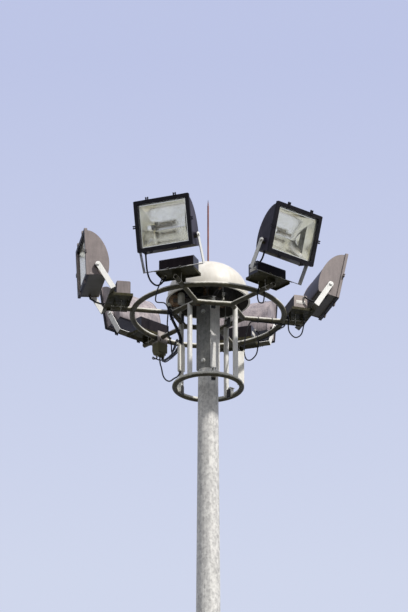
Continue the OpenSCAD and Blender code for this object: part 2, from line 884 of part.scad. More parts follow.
// Reflector: two curved panels that meet in a crease at the back, with a curved panel at each
// end, a flat lip inside the frame's opening and the tubular lamp in its holder at the left
reflector_lip = 12;
mouth_w = frame_w - 2 * (frame_border + reflector_lip);
mouth_h = frame_h - 2 * (frame_border + reflector_lip);
mouth_y = -pivot_back + housing_wall + fit;
mouth_z = frame_h / 2 - pivot_up;
trough_steps = 10;
lamp_share = 0.62;
holder_w = 54;

// Share of the mouth's half height, or of its half width, that is left at a share of the depth
function panel_share(t) = 1 - pow(t, 1.7);
function end_share(t) = 1 - 0.33 * pow(t, 1.3);
holder_x = -(mouth_w / 2 * end_share(lamp_share) - 7);
lamp_y = mouth_y + lamp_share * trough_d;

module trough(inset) {
    depth = trough_d - inset;
    half_w = mouth_w / 2 - inset;
    half_h = mouth_h / 2 - inset;
    down = [for (i = [0 : trough_steps]) i / trough_steps];
    back = [for (i = [trough_steps : -1 : 0]) i / trough_steps];
    translate([0, mouth_y, mouth_z])
        intersection() {
            rotate([90, 0, 90]) translate([0, 0, -mouth_w / 2]) linear_extrude(mouth_w)
                polygon(concat(
                    [for (t = down) [t * depth, half_h * panel_share(t)]],
                    [for (i = [trough_steps - 1 : -1 : 0])
                        [i / trough_steps * depth, -half_h * panel_share(i / trough_steps)]]));
            translate([0, 0, -mouth_h / 2]) linear_extrude(mouth_h)
                polygon(concat(
                    [for (t = down) [half_w * end_share(t), t * depth]],
                    [for (t = back) [-half_w * end_share(t), t * depth]]));
        }
}

module lamp_holder() {
    translate([holder_x, lamp_y, mouth_z]) along_x(lamp_d + 14, holder_w);
}

module reflector() {
    sheet = 2;
    inner = wrap_inset + housing_wall + 1;
    lamp_w = mouth_w / 2;
    difference() {
        union() {
            trough(0);
            translate([0, mouth_y, wrap_bottom + inner])
                slab(housing_w - 2, sheet, wrap_top - wrap_bottom - 2 * inner);
            lamp_holder();
        }
        difference() {
            translate([0, -0.5, 0]) trough(sheet);
            lamp_holder();
        }
    }
    translate([holder_x + lamp_w / 2, lamp_y, mouth_z]) along_x(lamp_d, lamp_w);
    translate([holder_x + lamp_w, lamp_y, mouth_z]) sphere(d = lamp_d);
}

// Front glass, seated in the back of the frame
module glass() {
    w = frame_w - 2 * frame_border + 16;
    h = frame_h - 2 * frame_border + 16;
    translate([0, -pivot_back - glass_t, -pivot_up + (frame_h - h) / 2]) slab(w, glass_t, h);
}

// Front frame: a moulded border with a rebate for the glass and six hooked clips
module rounded(w, h, r) {
    for (x = [-1, 1], y = [-1, 1])
        translate([x * (w / 2 - r), y * (h / 2 - r)]) circle(r);
    square([w - 2 * r, h], center = true);
    square([w, h - 2 * r], center = true);
}

// A clip lies on the frame's face, and its two prongs with their pin stand past the edge
module clip() {
    clip_w = 28;
    prong_w = 9;
    prong = 23;
    sheet = 4;
    translate([-clip_w / 2, -sheet, -22]) cube([clip_w, sheet + 1, 22]);
    for (s = [-1, 1])
        translate([s * (clip_w - prong_w) / 2 - prong_w / 2, -sheet, -1]) cube([prong_w, 14, prong + 1]);
    translate([0, 4, 14]) along_x(6, clip_w - 2);
}

module front_frame() {
    in_w = frame_w - 2 * frame_border;
    in_h = frame_h - 2 * frame_border;
    difference() {
        translate([0, -pivot_back, mouth_z])
            rotate([90, 0, 0]) linear_extrude(frame_t)
                difference() {
                    rounded(frame_w, frame_h, 10);
                    square([in_w, in_h], center = true);
                }
        translate([0, -pivot_back - glass_t - fit, mouth_z - in_h / 2 - 8 - fit])
            slab(in_w + 16 + 2 * fit, glass_t + 1, in_h + 16 + 2 * fit);
    }
    translate([0, -pivot_back - frame_t, mouth_z]) {
        for (x = [-0.25, 0.25], turn = [0, 180])
            rotate([0, turn, 0]) translate([x * frame_w, 0, frame_h / 2]) clip();
        for (turn = [90, 270])
            rotate([0, turn, 0]) translate([0, 0, frame_w / 2]) clip();
    }
}

// Slim terminal boxes that stand over the lower ring, each on a strap
box_w = 40;
box_d = 52;
left_box_az = -65;
left_box_up = 74;
left_box_h = 258;
right_box_az = 90;
right_box_up = 50;
right_box_h = 324;

module terminal_box(az, up, h) {
    strap_w = 30;
    strap_t = 6;
    at(az, cage_r + box_d / 2 - 4, cage_z + up) slab(box_w, box_d, h);
    difference() {
        at(az, cage_r + strap_t / 2, cage_z) slab(strap_w, strap_t, up + 1);
        lower_ring_solid();
    }
}

module terminal_boxes() {
    color([0.7, 0.7, 0.66]) {
        terminal_box(left_box_az, left_box_up, left_box_h);
        terminal_box(right_box_az, right_box_up, right_box_h);
    }
}

// Connector box on a plate that the rear left spoke passes through, with two glands below
plug_az = 210;
plug_r = 645;
plug_low = -175;
plug_gland_h = 13;
plug_gland_x = [-34, -4];
plug_gland_r = plug_r + 43;

module connector_box() {
    plate_w = 115;
    plate_t = 6;
    plate_h = 205;
    body_w = 92;
    body_d = 90;
    color([0.42, 0.36, 0.3]) {
        difference() {
            at(plug_az, plug_r + plate_t, ring_z + 50 - plate_h) slab(plate_w, plate_t, plate_h);
            spoke_bar(spoke_d, hex_r, spoke_end);
            for (hole = [[26, -38], [-24, 34]])
                at(plug_az, plug_r - 1, ring_z + hole.y) translate([hole.x, 0, 0]) along_out(18, plate_t + 2);
        }
        at(plug_az, plug_r + plate_t, ring_z)
            translate([-body_w / 2, 0, 0]) rotate([90, 0, 90]) linear_extrude(body_w)
                polygon([[0, plug_low], [0, -45], [-body_d, -45], [-body_d, plug_low + 45], [20 - body_d, plug_low]]);
        for (x = plug_gland_x)
            at(plug_az, plug_gland_r, ring_z + plug_low - plug_gland_h)
                translate([x, 0, 0]) cylinder(d = 28, h = plug_gland_h);
    }
}

// Cables that the carriage holds: one from the end of the supply cable to the connector box,
// and one from there to the left terminal box. Heights are counted from the ring plane.
stub = 15;
function plug_gland(i, down = 0) = [
    plug_gland_x[i] * cos(plug_az) + plug_gland_r * sin(plug_az),
    plug_gland_x[i] * sin(plug_az) - plug_gland_r * cos(plug_az),
    plug_low - plug_gland_h - fit - down];
bundle_route = [
    [supply_x, wheel_y, supply_foot - ring_z - 1],
    [supply_x, wheel_y, -10],
    [-350, -40, -80],
    [-277, 60, -150],
    [-243, 88, -235],
    [-256, 190, -286],
    [-282, 357, -280],
    [-310, 570, -238],
    plug_gland(0, stub)];
drop_d = 14;
drop_r = cage_r + 12;
drop_foot = [drop_r * sin(left_box_az), -drop_r * cos(left_box_az), left_box_up - cage_h - 20];
drop_route = [
    plug_gland(1, stub),
    [-342, 580, -260],
    [-340, 520, -335],
    [-361, 321, -499],
    [-362, 169, -607],
    [-348, 44, -672],
    [-328, -44, -682],
    [-307, -103, -686],
    drop_foot];

module carriage_cables() {
    color([0.07, 0.07, 0.08])
        translate([0, 0, ring_z]) {
            cord(concat(
                [bundle_route[0]],
                smooth([for (i = [1 : 8]) bundle_route[i]], 4),
                [plug_gland(0)]), supply_d);
            cord(concat(
                [plug_gland(1)],
                smooth(drop_route, 3),
                [drop_foot + [0, 0, 20 - fit]]), drop_d);
        }
}

// Leads from the housings' glands: the first one hangs in a loop and comes up under its bracket,
// and the others go straight to the end of their gear box
lead_d = 12;
tilt_axis = [0, -pivot_r, ring_z + pivot_h];
under_tray = [-130, -seat_back + 89, tray_z - fit];
box_end = [-gear_w / 2 + 6 - fit, -gear_r - gear_d + 37, tray_z + tray_t + gear_h - 20];
loop_points = [[-236, 76, -247], [-232, 145, -312], [-200, 201, -340], [-165, 231, -320]];
short_points = [[-227, 66, -152], [-219, 118, -168], [-210, 175, -158], [-200, 212, -135]];

function lead_start(tilt, down) =
    let (drop = gland_foot - fit - down)
    tilt_axis + [lead_x, -drop * sin(tilt), drop * cos(tilt)];

module lead(tilt, points, foot, approach) {
    cord(concat(
        [lead_start(tilt, 0)],
        smooth(concat([lead_start(tilt, stub)], [for (p = points) tilt_axis + p], [foot + approach]), 3),
        [foot]), lead_d);
}

module lamp_leads() {
    color([0.07, 0.07, 0.08]) {
        bracket(0) lead(light_tilt[0], loop_points, under_tray, [0, 0, -30]);
        for (i = [1 : 5])
            bracket(i) lead(light_tilt[i], short_points, box_end, [-stub, 0, 0]);
    }
}

base_flange();
mast_lower();
door_frame();
service_door();
mast_upper();
head_spigot();
head_post();
clamp_bolts();
head_frame();
rope_sheaves();
cable_wheel();
cable_hood();
dome_cap();
lightning_rod();
winch();
hoist_ropes();
suspension_ropes();
supply_cable();
outer_ring();
hex_ring();
spokes();
cage_posts();
lower_ring();
guide_brackets();
guide_blocks();
gear_trays();
gear_boxes();
yokes();
terminal_boxes();
connector_box();
carriage_cables();
lamp_leads();
for (i = [1 : 6]) {
    color([0.3, 0.28, 0.29]) light(i - 1) housing();
    color([0.85, 0.86, 0.86]) light(i - 1) reflector();
    color([0.8, 0.88, 0.86, 0.4]) light(i - 1) glass();
    color([0.06, 0.06, 0.06]) light(i - 1) front_frame();
}
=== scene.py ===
"""High mast floodlight tower, dressed for the picture: finishes, cables and small fittings."""
import bpy
import json
import math
from mathutils import Matrix, Vector


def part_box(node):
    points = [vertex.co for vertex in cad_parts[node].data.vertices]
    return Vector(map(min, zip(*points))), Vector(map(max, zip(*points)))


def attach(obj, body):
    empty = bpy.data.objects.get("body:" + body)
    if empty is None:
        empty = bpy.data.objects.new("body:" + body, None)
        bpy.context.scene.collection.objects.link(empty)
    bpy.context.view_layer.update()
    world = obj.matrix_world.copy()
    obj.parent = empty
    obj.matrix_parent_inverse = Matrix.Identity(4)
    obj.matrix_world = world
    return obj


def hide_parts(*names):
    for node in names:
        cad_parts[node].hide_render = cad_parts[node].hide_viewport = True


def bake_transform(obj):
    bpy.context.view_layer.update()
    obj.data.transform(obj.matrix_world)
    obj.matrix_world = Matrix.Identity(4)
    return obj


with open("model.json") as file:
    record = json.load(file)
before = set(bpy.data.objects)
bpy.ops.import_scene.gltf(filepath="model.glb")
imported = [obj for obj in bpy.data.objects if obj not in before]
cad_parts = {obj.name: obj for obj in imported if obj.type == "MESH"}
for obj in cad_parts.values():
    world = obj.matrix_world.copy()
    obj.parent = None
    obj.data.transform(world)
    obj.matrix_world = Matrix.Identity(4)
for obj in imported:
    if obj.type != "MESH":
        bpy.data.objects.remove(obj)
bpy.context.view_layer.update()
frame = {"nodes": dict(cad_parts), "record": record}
bpy.context.scene.view_settings.view_transform = "Standard"

# The photograph is taken from far below with a long lens. The camera stands 43 m from the
# carriage, eleven degrees to the left of the mast's front, at the height of a person's eye.
RING_Z = 19.971
CAMERA_AZIMUTH = math.radians(-11)
CAMERA_ELEVATION = math.radians(-24.4)
CAMERA_DISTANCE = 43.0
AIM_LEFT = 0.038
AIM_UP = 0.095
aim = Vector((-AIM_LEFT * math.cos(CAMERA_AZIMUTH), -AIM_LEFT * math.sin(CAMERA_AZIMUTH), RING_Z + AIM_UP))
away = Vector((
    math.sin(CAMERA_AZIMUTH) * math.cos(CAMERA_ELEVATION),
    -math.cos(CAMERA_AZIMUTH) * math.cos(CAMERA_ELEVATION),
    math.sin(CAMERA_ELEVATION)))
bpy.ops.object.select_all(action="DESELECT")
bpy.ops.object.camera_add(location=aim + away * CAMERA_DISTANCE)
camera = bpy.context.object
camera.name = "photo_camera"
camera.rotation_euler = away.to_track_quat("Z", "Y").to_euler()
camera.data.lens = 274
camera.data.sensor_width = 36
camera.data.clip_end = 500
bpy.context.scene.camera = camera

# A pale floor lies under the flange. The backdrop, which metal and glass show too, has the colours
# of a hazy sky. The light is that of a pale dome over dark ground, with a small soft lamp high on
# the right in place of the sun.
world = bpy.data.worlds.new("pale_sky")
bpy.context.scene.world = world
world.use_nodes = True
nodes = world.node_tree.nodes
links = world.node_tree.links
nodes.clear()
output = nodes.new("ShaderNodeOutputWorld")
mix = nodes.new("ShaderNodeMixShader")
path = nodes.new("ShaderNodeLightPath")
coordinates = nodes.new("ShaderNodeTexCoord")
split = nodes.new("ShaderNodeSeparateXYZ")
links.new(coordinates.outputs["Generated"], split.inputs[0])
SEEN_SKY = [(0.36, (0.63, 0.68, 0.84)), (0.46, (0.51, 0.56, 0.79))]
DOME_LIGHT = [(0.0, (0.085, 0.085, 0.07)), (0.06, (0.66, 0.655, 0.66)), (0.9, (0.47, 0.48, 0.52))]
for input_name, stops in ((1, DOME_LIGHT), (2, SEEN_SKY)):
    background = nodes.new("ShaderNodeBackground")
    ramp = nodes.new("ShaderNodeValToRGB")
    ramp.color_ramp.elements.remove(ramp.color_ramp.elements[0])
    ramp.color_ramp.elements[0].position = stops[0][0]
    ramp.color_ramp.elements[0].color = (*stops[0][1], 1)
    for position, color in stops[1:]:
        ramp.color_ramp.elements.new(position).color = (*color, 1)
    links.new(split.outputs["Z"], ramp.inputs["Fac"])
    links.new(ramp.outputs["Color"], background.inputs["Color"])
    links.new(background.outputs[0], mix.inputs[input_name])
seen = path.outputs["Is Camera Ray"]
for other in ("Is Glossy Ray", "Is Transmission Ray"):
    either = nodes.new("ShaderNodeMath")
    either.operation = "ADD"
    either.use_clamp = True
    links.new(seen, either.inputs[0])
    links.new(path.outputs[other], either.inputs[1])
    seen = either.outputs[0]
links.new(seen, mix.inputs["Fac"])
links.new(mix.outputs[0], output.inputs["Surface"])

SUN_AZIMUTH = 36
SUN_ELEVATION = 48
bpy.ops.object.light_add(
    type="SUN", rotation=(math.radians(90 - SUN_ELEVATION), 0, math.radians(SUN_AZIMUTH)))
sun = bpy.context.object
sun.name = "high_soft_lamp"
sun.data.energy = 3.6
sun.data.angle = math.radians(2)
sun.data.color = (1.0, 0.97, 0.92)

FLOOR_R = 7
bpy.ops.mesh.primitive_circle_add(vertices=96, radius=FLOOR_R, fill_type="NGON")
floor = bpy.context.object
floor.name = "floor"
floor_paint = bpy.data.materials.new("floor_paint")
floor_paint.use_nodes = True
floor_paint.node_tree.nodes["Principled BSDF"].inputs["Base Color"].default_value = (0.55, 0.56, 0.58, 1)
floor_paint.node_tree.nodes["Principled BSDF"].inputs["Roughness"].default_value = 0.9
floor.data.materials.append(floor_paint)

# Base flange and ribs: plate, hot-dip galvanised after welding. The zinc has a spangle of
# crystals, rain leaves pale runs on it, and faces that look down are painted darker, for dirt and for shade.
record = frame["record"]
body_of = {node: body for body, held in record["behaviour"]["bodies"].items() for node in held}


class Tone:
    """One socket of a finish. Arithmetic on it adds the nodes that work it out."""

    def __init__(self, tree, socket=None):
        self.tree = tree
        self.socket = socket

    def node(self, kind, settings, sockets, out=0):
        made = self.tree.nodes.new("ShaderNode" + kind)
        for name, value in settings.items():
            setattr(made, name, value)
        for name, value in sockets.items():
            if isinstance(value, Tone):
                self.tree.links.new(value.socket, made.inputs[name])
            else:
                made.inputs[name].default_value = value
        return Tone(self.tree, made.outputs[out])

    def math(self, operation, first, second):
        return self.node("Math", {"operation": operation}, {0: first, 1: second})

    def __add__(self, other):
        return self.math("ADD", self, other)

    def __radd__(self, other):
        return self.math("ADD", other, self)

    def __sub__(self, other):
        return self.math("SUBTRACT", self, other)

    def __rsub__(self, other):
        return self.math("SUBTRACT", other, self)

    def __mul__(self, other):
        return self.math("MULTIPLY", self, other)

    def __rmul__(self, other):
        return self.math("MULTIPLY", other, self)

    def ease(self, low, high):
        """0 below low, 1 above high and a smooth rise between them."""
        settings = {"interpolation_type": "SMOOTHSTEP"}
        return self.node("MapRange", settings, {"Value": self, "From Min": low, "From Max": high})

    def between(self, first, second):
        """A colour from first, at 0, to second, at 1. Each is a colour or a Tone."""
        first, second = [c if isinstance(c, Tone) else (*c, 1) for c in (first, second)]
        return self.node("Mix", {"data_type": "RGBA"}, {0: self, 6: first, 7: second}, 2)

    def noise(self, size, stretch=(1, 1, 1), detail=3):
        """Cloudy noise with blotches of about size metres, drawn out along the axes by stretch."""
        scale = [1 / (size * s) for s in stretch]
        spread = self.node("VectorMath", {"operation": "MULTIPLY"}, {0: self, 1: scale})
        return self.node("TexNoise", {}, {"Vector": spread, "Scale": 1.0, "Detail": detail, "Roughness": 0.6})


def finish(name, look, **fixed):
    """A finish by name. look(place, down) gives what varies: color, rough, metal, alpha or relief."""
    material = bpy.data.materials.new(name)
    material.use_nodes = True
    tree = material.node_tree
    shader = tree.nodes["Principled BSDF"]
    for socket, value in fixed.items():
        shader.inputs[socket.replace("_", " ")].default_value = value
    start = Tone(tree)
    place = start.node("TexCoord", {}, {}, "Object")
    normal = start.node("TexCoord", {}, {}, "Normal")
    down = 0 - start.node("SeparateXYZ", {}, {0: normal}, 2)
    sockets = {"color": "Base Color", "rough": "Roughness", "metal": "Metallic", "alpha": "Alpha"}
    varied = look(place, down)
    relief = varied.pop("relief", None)
    if relief:
        height, depth = relief
        bump = start.node("Bump", {}, {"Height": height, "Distance": depth, "Strength": 0.7})
        tree.links.new(bump.socket, shader.inputs["Normal"])
    for key, value in varied.items():
        tree.links.new(value.socket, shader.inputs[sockets[key]])
    return material


CRYSTALS_PER_METRE = 50.0


def galvanised(name, pale, dull, dirt_and_shade, reach, **fixed):
    """Hot-dip zinc: two greys, the colour of its underside, which stands for dirt and painted shade, and how
    far that reaches up from below.
    """
    def look(place, down):
        crystals = place.node("TexVoronoi", {}, {"Vector": place, "Scale": CRYSTALS_PER_METRE}, 1)
        spangle = place.node("SeparateColor", {}, {0: crystals})
        mottle = place.noise(0.028, (1, 1, 1.5), 4).ease(0.34, 0.66)
        cloud = place.noise(0.3, (1, 1, 2.5))
        runs = place.noise(0.016, (1, 1, 24), 2).ease(0.3, 0.7)
        grey = (0.28 * spangle + 0.40 * mottle + 0.17 * runs + 0.15 * cloud).between(dull, pale)
        # Faces that look down take the underside's colour: dirt, and painted shade.
        dirt_and_shade_mask = (down + 0.5 * (cloud - 0.5) + 0.25 * (mottle - 0.5)).ease(reach, reach + 0.5)
        dirt_and_shade_film = place.noise(0.07).ease(0.4, 0.7).between([0.7 * c for c in dirt_and_shade], [1.6 * c for c in dirt_and_shade])
        return {
            "color": (0.94 * dirt_and_shade_mask).between(grey, dirt_and_shade_film),
            "rough": 0.40 + 0.22 * mottle + 0.15 * dirt_and_shade_mask,
            "relief": (runs + 0.5 * mottle, 0.0008),
        }
    return finish(name, look, **fixed)


mast_zinc = galvanised(
    "mast_zinc", (0.96, 0.95, 0.92), (0.36, 0.355, 0.345), (0.20, 0.19, 0.15), 0.5, Metallic=0.05)
DOUBLES = 0.00005
FLAT = math.radians(0.4)
CORNER = math.radians(40)


def only(piece):
    """Selects one piece and nothing else, and makes it the active one."""
    bpy.ops.object.select_all(action="DESELECT")
    piece.select_set(True)
    bpy.context.view_layer.objects.active = piece


def skin(name, paint, sharp=28, edge=0.0):
    """A CAD node in a finish of its own. Its doubles and flat faces are merged, its edges rounded
    to a width where one is given, and its curves smooth up to an angle, with even shading."""
    mesh = frame["nodes"][name].data.copy()
    piece = bpy.data.objects.new(name + "_finished", mesh)
    bpy.context.collection.objects.link(piece)
    only(piece)
    mesh.materials.clear()
    mesh.materials.append(paint)
    bpy.ops.object.mode_set(mode="EDIT")
    bpy.ops.mesh.select_all(action="SELECT")
    bpy.ops.mesh.remove_doubles(threshold=DOUBLES)
    bpy.ops.mesh.dissolve_limited(angle_limit=FLAT)
    bpy.ops.object.mode_set(mode="OBJECT")
    if edge:
        rounding = piece.modifiers.new("edge", "BEVEL")
        rounding.width = edge
        rounding.segments = 2
        rounding.limit_method = "ANGLE"
        rounding.angle_limit = CORNER
        bpy.ops.object.modifier_apply(modifier="edge")
    bpy.ops.object.shade_smooth_by_angle(angle=math.radians(sharp))
    even = piece.modifiers.new("even", "WEIGHTED_NORMAL")
    even.keep_sharp = True
    bpy.ops.object.modifier_apply(modifier="even")
    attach(piece, body_of[name])
    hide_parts(name)
    return piece


def zone(piece, paint, inside):
    """Gives another finish to the faces of a piece whose middle and normal are inside."""
    piece.data.materials.append(paint)
    for face in piece.data.polygons:
        if inside(face.center, face.normal):
            face.material_index = len(piece.data.materials) - 1


skin("base_flange", mast_zinc)

# Weld between the mast's foot and its flange: a fillet laid in one run, with the small ripples
# that the torch leaves.
FOOT_R = 0.230
FLANGE_TOP = 0.030
FILLET = 0.006


def added(add, **shape):
    """A primitive that one of Blender's operators adds, with nothing else selected."""
    bpy.ops.object.select_all(action="DESELECT")
    add(**shape)
    return bpy.context.object


def settle(piece, name, paint, body):
    """Names a finished piece, moves its place into its mesh, and hangs it on its body."""
    only(piece)
    bpy.ops.object.transform_apply()
    piece.name = name
    piece.data.name = name
    if not piece.data.materials:
        piece.data.materials.append(paint)
    bpy.ops.object.shade_smooth_by_angle(angle=math.radians(35))
    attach(piece, body)


bead = added(
    bpy.ops.mesh.primitive_torus_add, location=(0, 0, FLANGE_TOP + 0.002), major_radius=FOOT_R + 0.001,
    minor_radius=FILLET, major_segments=160, minor_segments=8)
bpy.ops.object.mode_set(mode="EDIT")
bpy.ops.transform.vertex_random(offset=FILLET * 0.18, seed=4)
bpy.ops.object.mode_set(mode="OBJECT")
settle(bead, "foot_weld", mast_zinc, "mast")

# Lower and upper mast sections: plate rolled to a taper, closed by one long weld and slipped one
# over the other. Galvanised like the flange, with the weld's bead along the back.
ABOVE_RIBS = 0.26
SEAM_GAP = 0.004
SEAM_R = 0.003
AT_END = 0.002
for section in ("mast_lower", "mast_upper"):
    skin(section, mast_zinc)


def seam(name, foot, top, width):
    """A weld bead along the back of a tapered section, from its foot to its top."""
    rise = Vector(top) - Vector(foot)
    bead = added(bpy.ops.mesh.primitive_cylinder_add, vertices=10, radius=width, depth=rise.length)
    bead.rotation_euler = rise.to_track_quat("Z", "Y").to_euler()
    bead.location = (Vector(foot) + Vector(top)) / 2
    bpy.ops.object.mode_set(mode="EDIT")
    bpy.ops.mesh.select_all(action="SELECT")
    bpy.ops.transform.resize(value=(1.6, 0.6, 1), orient_type="LOCAL")
    bpy.ops.object.mode_set(mode="OBJECT")
    settle(bead, name, mast_zinc, "mast")


def wall_radius(node, z):
    """Outer radius of a tapered section at a height, measured on its mesh."""
    low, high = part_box(node)
    corners = [v.co for v in frame["nodes"][node].data.vertices]
    foot, top = [
        max(math.hypot(c.x, c.y) for c in corners if abs(c.z - end.z) < AT_END) for end in (low, high)]
    return foot + (top - foot) * (z - low.z) / (high.z - low.z)


lower_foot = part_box("mast_lower")[0].z
upper_foot, upper_top = [corner.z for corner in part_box("mast_upper")]
for section, start, stop in (
        ("mast_lower", lower_foot + ABOVE_RIBS, upper_foot - SEAM_GAP),
        ("mast_upper", upper_foot + SEAM_GAP, upper_top - SEAM_GAP)):
    ends = [(0, wall_radius(section, z), z) for z in (start, stop)]
    seam(section + "_seam", *ends, SEAM_R)

# Service door and its frame: a leaf of galvanised plate on two hinge barrels, closed by a boss
# with a three-cornered key stud.
DOOR_Z = 1.05
KEY_UP = 0.16
ALONG_Y = (math.radians(90), 0, 0)
door_zinc = galvanised(
    "door_zinc", (0.60, 0.61, 0.60), (0.34, 0.345, 0.34), (0.15, 0.14, 0.12), 0.5, Metallic=0.15)
skin("door_frame", mast_zinc)
skin("service_door", door_zinc)


def soften(width, segments=2):
    """Rounds every edge of the piece that was just added, which is selected all over."""
    bpy.ops.object.mode_set(mode="EDIT")
    bpy.ops.mesh.bevel(offset=width, segments=segments, affect="EDGES")
    bpy.ops.object.mode_set(mode="OBJECT")
    return bpy.context.object


def rounded(add, width, segments=2, **shape):
    """A primitive with all its edges rounded."""
    added(add, **shape)
    return soften(width, segments)


key_stud = rounded(
    bpy.ops.mesh.primitive_cylinder_add, 0.0015, vertices=3, radius=0.009, depth=0.016,
    location=(0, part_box("service_door")[0].y - 0.004, DOOR_Z + KEY_UP), rotation=ALONG_Y)
settle(key_stud, "door_key_stud", door_zinc, "mast")

# Earth stud near the foot, for the earthing strap: a galvanised bolt on its washer, with its
# shank through the wall.
EARTH_Z = 0.42
ROOT_3 = 1.732
bolt_zinc = galvanised(
    "bolt_zinc", (0.66, 0.66, 0.62), (0.42, 0.42, 0.38), (0.16, 0.14, 0.09), 0.5, Metallic=0.4)


def joined(parts):
    """Several objects as one, with its place in its mesh."""
    only(parts[0])
    for part in parts:
        part.select_set(True)
    if len(parts) > 1:
        bpy.ops.object.join()
    bpy.ops.object.transform_apply()
    return bpy.context.object


def bolt(across, head, washer, shank=0.0):
    """A hexagon head on its washer, looking along -Y, with the shank behind where one is given."""
    parts = []
    for sides, radius, depth, y in (
            (6, across / ROOT_3, head, -washer - head / 2),
            (24, across * 0.62, washer, -washer / 2),
            (16, across * 0.3, shank, shank / 2)):
        if depth:
            parts.append(rounded(
                bpy.ops.mesh.primitive_cylinder_add, min(radius, depth) * 0.14, vertices=sides,
                radius=radius, depth=depth, location=(0, y, 0), rotation=ALONG_Y))
    return joined(parts)


def copies(model, name, places, paint):
    """One piece per place from a finished model, each with its own mesh. A place is a body and a matrix."""
    for i, (body, matrix) in enumerate(places):
        piece = bpy.data.objects.new(f"{name}_{i + 1}", model.data.copy())
        bpy.context.collection.objects.link(piece)
        piece.data.transform(matrix)
        settle(piece, f"{name}_{i + 1}", paint, body)
    bpy.data.objects.remove(model)


def facing(azimuth, radius, z):
    """The matrix that puts a piece on a radius, counted from the front towards +X, looking outwards."""
    return Matrix.Rotation(math.radians(azimuth), 4, "Z") @ Matrix.Translation((0, -radius, z))


on_wall = facing(90, wall_radius("mast_lower", EARTH_Z) + 0.001, EARTH_Z)
copies(bolt(0.024, 0.012, 0.004, 0.02), "earth_stud", [("mast", on_wall)], bolt_zinc)

# Head post on its spigot, with the bolts that clamp it. The two faces that look towards -X
# are painted dark as painted shade.
head_zinc = galvanised(
    "head_zinc", (0.84, 0.83, 0.80), (0.56, 0.55, 0.53), (0.10, 0.09, 0.07), 0.4, Metallic=0.1)
painted_shade_zinc = galvanised(
    "painted_shade_zinc", (0.30, 0.30, 0.28), (0.13, 0.13, 0.12), (0.05, 0.045, 0.035), 0.3, Metallic=0.15)
skin("head_spigot", head_zinc)
post = skin("head_post", head_zinc, edge=0.004)
# The faces towards -X take the darker zinc: painted shade.
zone(post, painted_shade_zinc, lambda c, n: n.x < -0.5)
skin("clamp_bolts", bolt_zinc)

# Head frame, sheaves and cable wheel: flame-cut plate and cast iron under the cap. The plate is
# painted nearly black as painted shade under the cap, and the castings are rusty.
shade_steel = galvanised(
    "shade_steel", (0.13, 0.12, 0.10), (0.05, 0.045, 0.04), (0.022, 0.018, 0.013), 0.2, Metallic=0.1)


def rust_look(place, down):
    cloud = place.noise(0.03)
    grain = place.noise(0.004)
    return {
        "color": cloud.ease(0.35, 0.65).between((0.17, 0.095, 0.055), (0.42, 0.30, 0.20)),
        "rough": 0.7 + 0.2 * grain,
        "relief": (grain, 0.0008),
    }


WHEEL_REACH = 0.118
rusty_iron = finish("rusty_iron", rust_look)
skin("head_frame", shade_steel)
skin("rope_sheaves", rusty_iron)
wheel = skin("cable_wheel", rusty_iron)
fork_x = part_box("cable_wheel")[0].x + WHEEL_REACH
# The wheel's fork takes the near-black steel too: painted shade under the cap.
zone(wheel, shade_steel, lambda c, n: c.x > fork_x)


# Light hood: a thin moulded plastic cup with a sloped top, greyed by dust. It is fixed to the
# front cheek of the cable wheel's fork.
def dusty_look(place, down):
    cloud = place.noise(0.08)
    speck = place.noise(0.006)
    return {
        "color": (0.6 * cloud + 0.4 * speck).ease(0.3, 0.75).between((0.47, 0.46, 0.41), (0.67, 0.66, 0.60)),
        "rough": 0.45 + 0.3 * cloud,
        "relief": (speck, 0.0003),
    }


box_plastic = finish("box_plastic", dusty_look)
skin("cable_hood", box_plastic)


# Domed cap: a spun aluminium shell, painted off-white, with screws round its skirt. Rain draws
# grey streaks down from the rod, and the inside is painted nearly black as painted shade.
def cap_look(place, down):
    streak = place.noise(0.05, (1, 1, 5))
    cloud = place.noise(0.4)
    clean = (0.5 * streak + 0.5 * cloud).ease(0.3, 0.7)
    return {
        "color": clean.between((0.66, 0.62, 0.54), (0.83, 0.81, 0.76)),
        "rough": 0.35 + 0.25 * streak,
        "relief": (cloud, 0.001),
    }


CAP_RIM = 0.014
SCREW_UP = 0.038
cap_paint = finish("cap_paint", cap_look, Coat_Weight=0.15)
cap = skin("dome_cap", cap_paint, sharp=40)
cap_low, cap_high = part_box("dome_cap")
# Faces that look inwards and not up are painted nearly black: painted shade inside the cap.
zone(cap, shade_steel, lambda c, n: n.dot(Vector((c.x, c.y, 0.4 * (c.z - cap_low.z)))) < 0 and n.z < 0.2)
skirt_r = cap_high.x - CAP_RIM
copies(
    bolt(0.012, 0.006, 0.002), "skirt_screw",
    [("mast", facing(15 + i * 30, skirt_r + 0.0005, cap_low.z + SCREW_UP)) for i in range(12)],
    cap_paint)


# Lightning rod: a copper-clad bar, weathered to a red brown. It stands on the head frame and
# passes through the cap between two collars, and ends in a slender point.
def rod_look(place, down):
    patch = place.noise(0.05, (1, 1, 3))
    return {
        "color": patch.ease(0.3, 0.7).between((0.16, 0.05, 0.035), (0.30, 0.115, 0.075)),
        "rough": 0.45 + 0.3 * patch,
        "metal": 0.2 + 0.3 * patch,
        "relief": (place.noise(0.005), 0.0003),
    }


TIP = 0.050
TIP_LAP = 0.004
rod_copper = finish("rod_copper", rod_look)
rod = skin("lightning_rod", rod_copper)
rod_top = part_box("lightning_rod")[1].z
tip_r = max(math.hypot(v.co.x, v.co.y) for v in rod.data.vertices if v.co.z > rod_top - 0.01)
point = rounded(
    bpy.ops.mesh.primitive_cone_add, 0.0006, vertices=20, radius1=tip_r, radius2=0.0015,
    depth=TIP + TIP_LAP, location=(0, 0, rod_top + TIP / 2 - TIP_LAP / 2))
settle(point, "rod_point", rod_copper, "mast")


